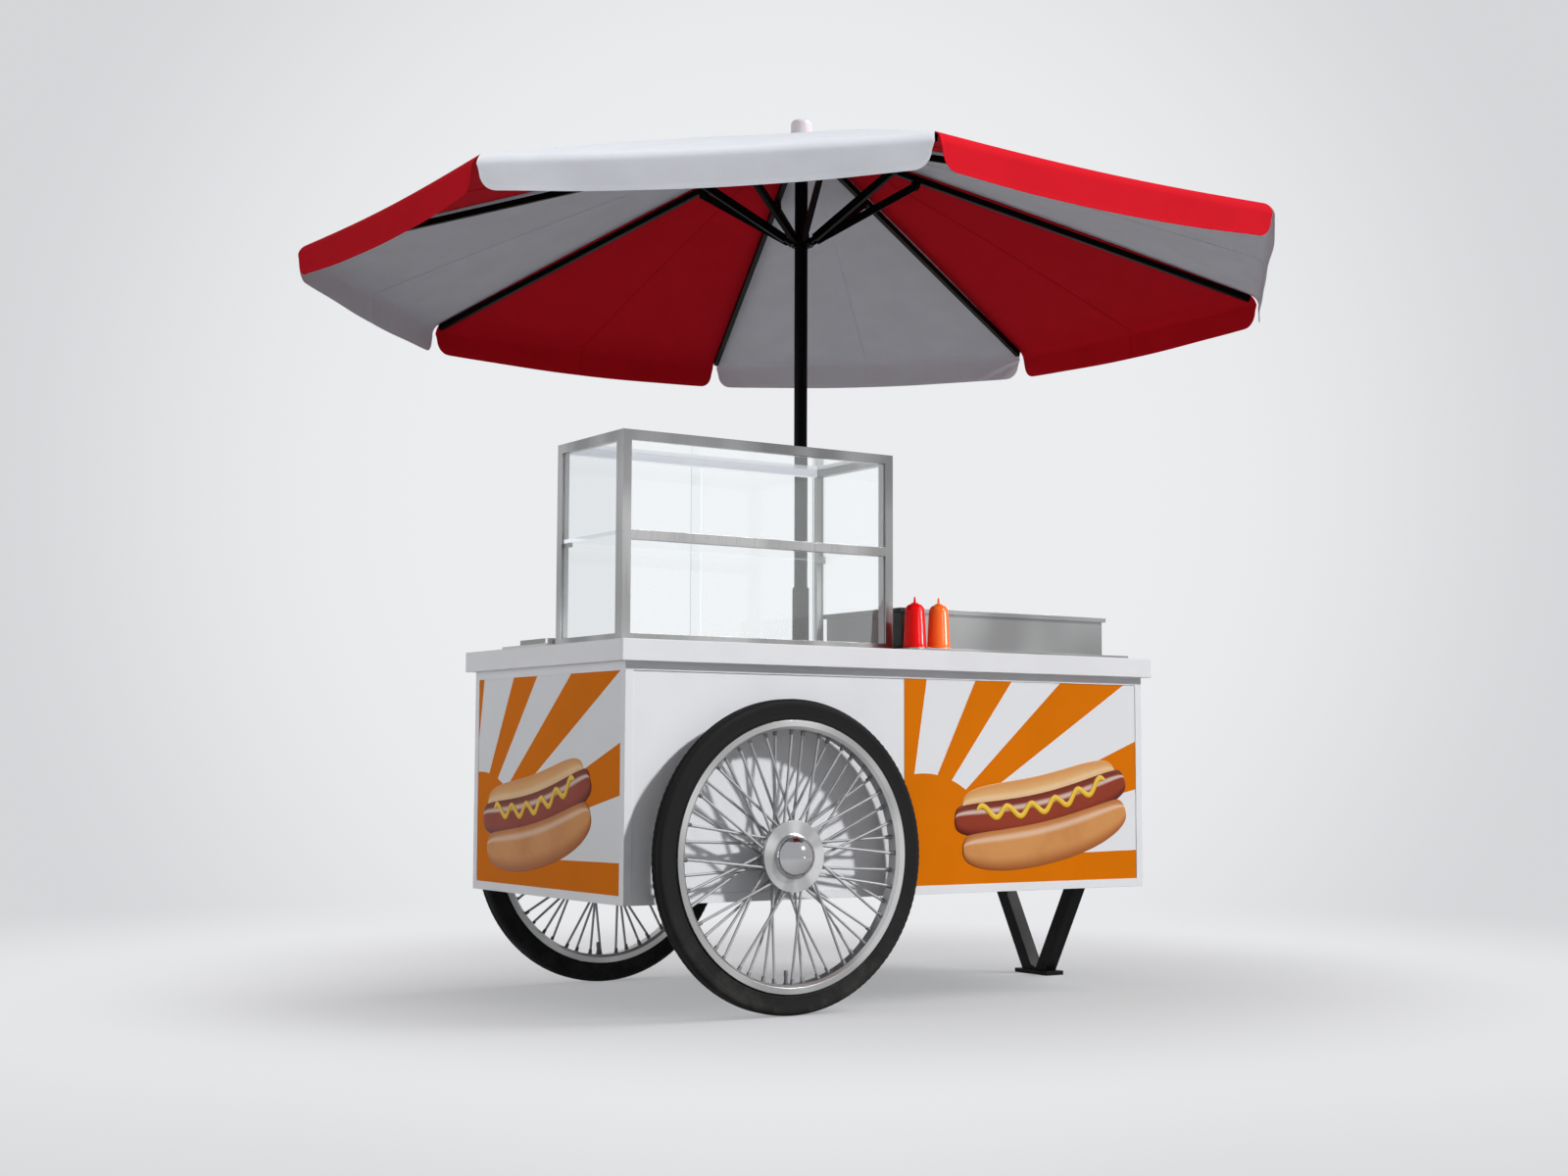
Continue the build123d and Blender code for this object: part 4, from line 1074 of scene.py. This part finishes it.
def make_hot_dog(prefix, on_print, middle, sizes):
    """A plain hot dog on a print: two halves of a bun, a sausage and a line of mustard."""
    mustard_raised = 0.036
    mustard_share = 0.76
    mustard_height = 1.15
    span = sizes.dog_length
    bend = sizes.dog_bend
    tilt = sizes.dog_tilt
    relief = sizes.dog_relief
    lift = Vector((-math.sin(tilt), math.cos(tilt)))
    centre = Vector(middle)
    for piece, raised, share, wide, height, finish, blunt in (
        ("_bun_back", 0.054, 0.9, 0.13, 0.6, "Crumb print", 3.0),
        ("_sausage", 0.026, 1.0, 0.103, 1.3, "Sausage print", 4.0),
        ("_bun_front", -0.054, 0.96, 0.13, 1.6, "Bun print", 3.0),
    ):
        pillow(
            prefix + piece, on_print, centre + raised * lift, span * share, wide, bend, relief * height,
            finish, tilt, blunt,
        )
    squiggle(
        prefix + "_mustard", on_print, centre + mustard_raised * lift, span * mustard_share, bend,
        relief * mustard_height, "Mustard print", tilt,
    )


# Operators

class CART_OT_finishes(bpy.types.Operator):
    """Make the shared effects and the finishes"""

    bl_idname = "cart.finishes"
    bl_label = "Finishes"

    def execute(self, context):
        colours = context.scene.cart_colours
        for make in (make_grain, make_streaks, make_dust, make_edges, make_weave):
            make()
        self.make_coats(colours)
        self.make_metals(colours)
        clear_glass("Clear glass")
        # The shelf's and the doors' cut edges get a painted glow.
        clear_glass("Shelf glass", "Z", 0.3)
        clear_glass("Door glass", "Y", 0.45)
        canvas("Red canvas", colours.red_cloth)
        canvas("White canvas", colours.white_cloth)
        food_print("Bun print", colours.bun, (0.4, 0.12, 0.03), 0.35)
        food_print("Crumb print", colours.crumb, colours.bun, 0.2)
        food_print("Sausage print", colours.sausage, (0.12, 0.015, 0.008), 0.55)
        food_print("Mustard print", colours.mustard, (0.6, 0.3, 0.01), 0.4)
        return {"FINISHED"}

    def make_coats(self, colours):
        """Paint, laminate, rubber and plastic."""
        soil = colours.dust
        fine = 0.0008
        satin = (0.36, 0.48)
        glossy = (0.1, 0.16)
        coated("White coat", colours.coat, satin, 0.08, dust=0.12, soil=soil)
        coated("Counter laminate", colours.laminate, (0.3, 0.42), 0.05, edge=0.003)
        coated("White board", colours.board, (0.4, 0.55), 0.1)
        coated("Black coat", colours.black, satin, 0.15, specular=0.05)
        coated("Stand coat", colours.stand, satin, 0.15, wear=0.2, specular=0.08, dust=0.02, soil=soil)
        coated(
            "Rubber", colours.rubber, (0.6, 0.76), 0.25, edge=fine, scale=900.0, specular=0.12,
            dust=0.05, soil=soil,
        )
        coated("Red plastic", colours.red_bottle, glossy, 0.02, edge=fine, specular=0.1)
        coated("Orange plastic", colours.orange_bottle, glossy, 0.02, edge=fine, specular=0.15)
        coated("White plastic", colours.white_plastic, (0.28, 0.38), 0.05)

    def make_metals(self, colours):
        """Steel, satin metal and plated metal."""
        painted_reflection_bands = (5.0, 5.0, 1.6)
        even = (0.3, 0.34)
        satin = (0.28, 0.4)
        rings = (1.6, 1.6, 0.0)
        trough_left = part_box("trough")[0].x
        # The trough's left end gets a painted dark reflection.
        painted_dark_end = [trough_left + reach for reach in (0.034, 0.05)]
        brushed("Brushed steel", colours.steel, upright_streaks, painted_reflection_bands, even)
        brushed("Trough steel", colours.steel, upright_streaks, painted_reflection_bands, even, painted_dark_end=painted_dark_end)
        glazing_steel("Glazing steel", colours.steel, colours.track)
        polished("Polished chrome", colours.chrome, (0.08, 0.13))
        polished("Polished spokes", shade_of(colours.chrome, 0.75), (0.62, 0.7))
        polished("Dull nickel", shade_of(colours.chrome, 0.36), (0.6, 0.7))
        for side in wheel_sides:
            axle = tuple(wheel_facts(side)[0])
            # On the rims and hubs the bands of painted reflection run round the axle.
            for part, base in (("rim", colours.satin), ("hub", colours.hub)):
                brushed(f"Satin {side} {part}", base, ring_streaks, rings, satin, circle=axle)


class CART_OT_body(bpy.types.Operator):
    """Coat the body, the counter and the cabinet doors"""

    bl_idname = "cart.body"
    bl_label = "Body and counter"

    def execute(self, context):
        coat_nodes("White coat", "body_frame", "floor_panel", "front_panel", "end_panels", "back_panel")
        coat_nodes("White board", "back_door_left", "back_door_right", "cutting_board")
        coat_nodes("Counter laminate", "countertop")
        coat_nodes("Brushed steel", "door_hinges", "axle", "axle_blocks")
        return {"FINISHED"}


class CART_OT_prints(bpy.types.Operator):
    """Print the sun rays and a hot dog on the front and on the left end"""

    bl_idname = "cart.prints"
    bl_label = "Prints"

    def execute(self, context):
        colours = context.scene.cart_colours
        sizes = context.scene.cart_sizes
        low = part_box("front_graphic")[0]
        end_low, end_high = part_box("end_graphic")

        def on_front(right, above, out):
            return Vector((low.x + right, low.y - out, low.z + above))

        def on_end(right, above, out):
            return Vector((end_low.x - out, end_high.y - right, end_low.z + above))

        sun_print("Front print", (low.x, 0, low.z), (1, 0, 0), colours, sizes)
        coat_nodes("Front print", "front_graphic")
        make_hot_dog("front", on_front, (sizes.front_dog, sizes.dog_up), sizes)
        corner = (0, end_high.y, end_low.z)
        sun_print("End print", corner, (0, -1, 0), colours, sizes, sizes.end_stretch, sizes.end_shift)
        coat_nodes("End print", "end_graphic")
        make_hot_dog("end", on_end, (sizes.end_dog, sizes.dog_up), sizes)
        return {"FINISHED"}


class CART_OT_wheels(bpy.types.Operator):
    """Fit moulded tyres, spoke nipples and valves, and finish the rims, spokes, hubs and stand"""

    bl_idname = "cart.wheels"
    bl_label = "Wheels and stand"

    def execute(self, context):
        for side in wheel_sides:
            make_tyre(side, context.scene.cart_sizes)
            make_nipples(side)
            make_valve(side)
            for part in ("rim", "hub"):
                coat_nodes(f"Satin {side} {part}", f"{side}_{part}")
            coat_nodes("Polished spokes", side + "_spokes")
            coat_nodes("Polished chrome", side + "_hub_cap")
        coat_nodes("Stand coat", "stand_legs", "stand_foot")
        return {"FINISHED"}


class CART_OT_case(bpy.types.Operator):
    """Finish the glass case"""

    bl_idname = "cart.case"
    bl_label = "Glass case"

    def execute(self, context):
        coat_nodes("Glazing steel", "case_frame")
        coat_nodes("Clear glass", "case_panes")
        coat_nodes("Shelf glass", "case_shelf")
        coat_nodes("Door glass", "case_door_left", "case_door_right")
        return {"FINISHED"}


class CART_OT_counter_things(bpy.types.Operator):
    """Finish the trough and the trays, and fill the places of the two bottles"""

    bl_idname = "cart.counter_things"
    bl_label = "Trough, trays and bottles"

    def execute(self, context):
        coat_nodes("Trough steel", "trough")
        coat_nodes("Brushed steel", "steel_trays")
        make_bottle("red_bottle", "Red plastic", "red_plastic")
        make_bottle("orange_bottle", "Orange plastic", "orange_plastic")
        return {"FINISHED"}


class CART_OT_umbrella(bpy.types.Operator):
    """Finish the umbrella's frame and stretch the canvas over its ribs"""

    bl_idname = "cart.umbrella"
    bl_label = "Umbrella"

    def execute(self, context):
        coat_nodes("Black coat", "pole_sleeve", "pole_socket", "pole_lower", "pole_upper")
        coat_nodes("Black coat", "rib_hub", "runner")
        for index in range(1, len(rib_joints) + 1):
            coat_nodes("Black coat", f"rib_{index}", f"strut_{index}")
        coat_nodes("White plastic", "finial")
        make_gores(context.scene.cart_sizes)
        return {"FINISHED"}


class CART_OT_stage(bpy.types.Operator):
    """Set up the pale studio, its light and the camera"""

    bl_idname = "cart.stage"
    bl_label = "Studio"

    def execute(self, context):
        scene = context.scene
        studio = scene.cart_studio
        make_backdrop(scene.cart_colours, self.heading(studio, studio.glow_rise))
        self.make_world(scene, studio)
        floor = self.make_floor(scene, studio)
        self.make_lamps(scene, studio, floor)
        self.make_camera(scene, studio)
        scene.view_settings.view_transform = "Standard"
        return {"FINISHED"}

    def heading(self, studio, rise=0.0):
        """The direction that the camera looks in, or one that rises above it by an angle."""
        yaw = studio.camera_yaw
        pitch = studio.camera_pitch + rise
        return Vector((math.sin(yaw) * math.cos(pitch), math.cos(yaw) * math.cos(pitch), math.sin(pitch)))

    def seen(self, tree):
        """One where a ray comes from the camera, a gloss or a glass."""
        rays = add(tree, "ShaderNodeLightPath").outputs
        shine = math_node(tree, "MAXIMUM", rays["Is Glossy Ray"], rays["Is Transmission Ray"])
        return math_node(tree, "MAXIMUM", rays["Is Camera Ray"], shine)

    def make_world(self, scene, studio):
        """Even light from all round, with the backdrop where it is seen."""
        world = bpy.data.worlds.new("Studio")
        scene.world = world
        world.use_nodes = True
        tree = world.node_tree
        lit = tree.nodes["Background"]
        feed(tree, lit, {"Color": (0.97, 0.98, 1.0, 1.0), "Strength": studio.ambient})
        way = add(tree, "ShaderNodeTexCoord").outputs["Generated"]
        glow = use_effect(tree, "Backdrop", {"Direction": way})["Color"]
        shown = add(tree, "ShaderNodeBackground", {"Color": glow, "Strength": 1.0})
        mix = add(tree, "ShaderNodeMixShader", {0: self.seen(tree), 1: lit.outputs[0], 2: shown.outputs[0]})
        feed(tree, tree.nodes["World Output"], {"Surface": mix.outputs[0]})

    def make_floor(self, scene, studio):
        """A pale floor that keeps the cart's shadow and fades into the backdrop."""
        reach = 60.0
        shadow_fade = (0.8, 2.3)
        glow_fade = (1.5, 4.0)
        least_fade = 0.35
        mesh = bpy.data.meshes.new("studio_floor")
        corners = [(-reach, -reach, 0), (reach, -reach, 0), (reach, reach, 0), (-reach, reach, 0)]
        mesh.from_pydata(corners, [], [(0, 1, 2, 3)])
        floor = bpy.data.objects.new("studio_floor", mesh)
        scene.collection.objects.link(floor)
        tree, shader = new_material("Studio floor")
        tree.nodes.remove(shader)
        seen = self.seen(tree)
        dim = [studio.bounce * part for part in (1.0, 1.0, 1.02)]
        pale = scene.cart_colours.floor
        place = object_place(tree)
        away = vector_node(tree, "LENGTH", place)
        tone = mix_colour(tree, seen, dim, pale)
        near = add(tree, "ShaderNodeBsdfDiffuse", {"Color": tone, "Roughness": 1.0})
        way = vector_node(tree, "SUBTRACT", place, tuple(studio.camera_place))
        glow = use_effect(tree, "Backdrop", {"Direction": way})["Color"]
        tone = mix_colour(tree, ramp(tree, away, *glow_fade), pale, glow)
        far = add(tree, "ShaderNodeEmission", {"Color": tone, "Strength": 1.0})
        fade = math_node(tree, "MULTIPLY", ramp(tree, away, *shadow_fade, least_fade), seen)
        mix = add(tree, "ShaderNodeMixShader", {0: fade, 1: near.outputs[0], 2: far.outputs[0]})
        feed(tree, tree.nodes["Material Output"], {"Surface": mix.outputs[0]})
        mesh.materials.append(finish_of("Studio floor"))
        return floor

    def group(self, name, members, link_state="INCLUDE"):
        """A collection of objects that a lamp lights alone, or leaves out."""
        collection = bpy.data.collections.new(name)
        for member in members:
            collection.objects.link(member)
        for row in collection.collection_objects:
            row.light_linking.link_state = link_state
        return collection

    def place_lamp(self, scene, light, place, looks_along, receivers):
        """Put a light at a place, shining against looks_along. A gleam shows in gloss alone."""
        lamp = bpy.data.objects.new(light.name, light)
        lamp.location = place
        lamp.rotation_mode = "QUATERNION"
        lamp.rotation_quaternion = Vector(looks_along).to_track_quat("Z", "Y")
        lamp.visible_camera = False
        lamp.visible_transmission = False
        lamp.visible_diffuse = not light.name.endswith("gleam")
        lamp.light_linking.receiver_collection = receivers
        scene.collection.objects.link(lamp)
        return lamp

    def make_sun(self, scene, name, strength, degrees, from_way, receivers):
        """Sunlight from a direction, softened over an angle."""
        sun = bpy.data.lights.new(name, "SUN")
        sun.energy = strength
        sun.angle = math.radians(degrees)
        return self.place_lamp(scene, sun, 5 * upward, from_way, receivers)

    def make_lamps(self, scene, studio, floor):
        """The key light, the floor's own light, and soft lamps for the sides, cloth, glass and bottles."""
        pieces = [thing for thing in scene.objects if thing.type == "MESH"]
        cloth = [thing for thing in pieces if thing.name.startswith("canopy_")]
        bottles = [thing for thing in pieces if "_bottle_" in thing.name]
        panes = [frame["nodes"][name] for name in glass_nodes]
        upright_panes = [frame["nodes"][name] for name in glass_nodes if name != "case_shelf"]
        umbrella_names = ("canopy_", "rib_", "strut_", "runner", "finial")
        umbrella = [thing for thing in pieces if thing.name.startswith(umbrella_names)]
        all_but_floor = self.group("No floor", [floor], "EXCLUDE")
        self.make_sun(scene, "Key sun", studio.sun_strength, 4.0, studio.sun_from, all_but_floor)
        floor_alone = self.group("Floor alone", [floor])
        floor_light = self.make_sun(scene, "Floor light", 2.6, 45.0, (0.75, -0.1, 0.65), floor_alone)
        floor_light.light_linking.blocker_collection = self.group("No umbrella", umbrella, "EXCLUDE")
        glass = self.group("Glass panes", upright_panes)
        others = self.group("No cloth or glass", cloth + panes, "EXCLUDE")
        canopy = self.group("Cloth", cloth)
        pair = self.group("Bottles", bottles)
        for name, place, target, wide, tall, power, receivers in (
            ("Fill left", (-7.0, 1.5, 1.5), (-0.8, 0.0, 0.9), 3.0, 3.0, 100.0, others),
            ("Cloth fill", (-2.4, -2.6, 3.4), (-0.9, -0.95, 2.1), 1.2, 1.2, 21.0, canopy),
            ("Softbox", (2.39, -5.05, 1.8), (-0.5, -0.53, 1.2), 2.8, 1.7, 46.0, glass),
            ("Bottle fill", (0.6, -4.2, 1.0), (-0.02, -0.6, 0.98), 0.9, 1.6, 66.0, pair),
            ("Bottle gleam", (2.9, -3.3, 1.0), (-0.02, -0.6, 0.98), 0.7, 1.6, 420.0, pair),
        ):
            area = bpy.data.lights.new(name, "AREA")
            area.shape = "RECTANGLE"
            area.size = wide
            area.size_y = tall
            area.energy = power
            self.place_lamp(scene, area, place, Vector(place) - Vector(target), receivers)

    def make_camera(self, scene, studio):
        """The camera that takes the cart from its front left."""
        lens = bpy.data.cameras.new("Camera")
        lens.sensor_width = 36.0
        lens.lens = studio.camera_lens
        lens.clip_end = 200.0
        camera = bpy.data.objects.new("Camera", lens)
        scene.collection.objects.link(camera)
        yaw = studio.camera_yaw
        roll = studio.camera_roll
        ahead = self.heading(studio)
        right = Vector((math.cos(yaw), -math.sin(yaw), 0))
        above = right.cross(ahead)
        rolled_right = right * math.cos(roll) + above * math.sin(roll)
        rolled_above = above * math.cos(roll) - right * math.sin(roll)
        turn = Matrix((rolled_right, rolled_above, -ahead)).transposed()
        camera.matrix_world = Matrix.Translation(Vector(studio.camera_place)) @ turn.to_4x4()
        scene.camera = camera


class CART_PT_panel(bpy.types.Panel):
    """The steps that dress the cart"""

    bl_idname = "CART_PT_panel"
    bl_label = "Hot dog cart"
    bl_space_type = "VIEW_3D"
    bl_region_type = "UI"
    bl_category = "Cart"

    def draw(self, context):
        for step in steps:
            self.layout.operator(step.bl_idname)
        for group in (context.scene.cart_sizes, context.scene.cart_colours, context.scene.cart_studio):
            box = self.layout.box()
            for name in group.bl_rna.properties.keys():
                if name not in ("rna_type", "name"):
                    box.prop(group, name)


groups = {"cart_colours": CartColours, "cart_sizes": CartSizes, "cart_studio": CartStudio}
steps = (
    CART_OT_finishes, CART_OT_body, CART_OT_prints, CART_OT_wheels, CART_OT_case,
    CART_OT_counter_things, CART_OT_umbrella, CART_OT_stage,
)


def register():
    """Register the property groups, the steps and the panel."""
    for name, group in groups.items():
        bpy.utils.register_class(group)
        setattr(bpy.types.Scene, name, PointerProperty(type=group))
    for made in (*steps, CART_PT_panel):
        bpy.utils.register_class(made)


def unregister():
    """Take the panel, the steps and the property groups away."""
    for made in reversed((*steps, CART_PT_panel)):
        bpy.utils.unregister_class(made)
    for name, group in reversed(groups.items()):
        delattr(bpy.types.Scene, name)
        bpy.utils.unregister_class(group)


def main():
    """Dress the cart step by step."""
    register()
    for step in steps:
        family, name = step.bl_idname.split(".")
        getattr(getattr(bpy.ops, family), name)()


if __name__ == "__main__":
    main()
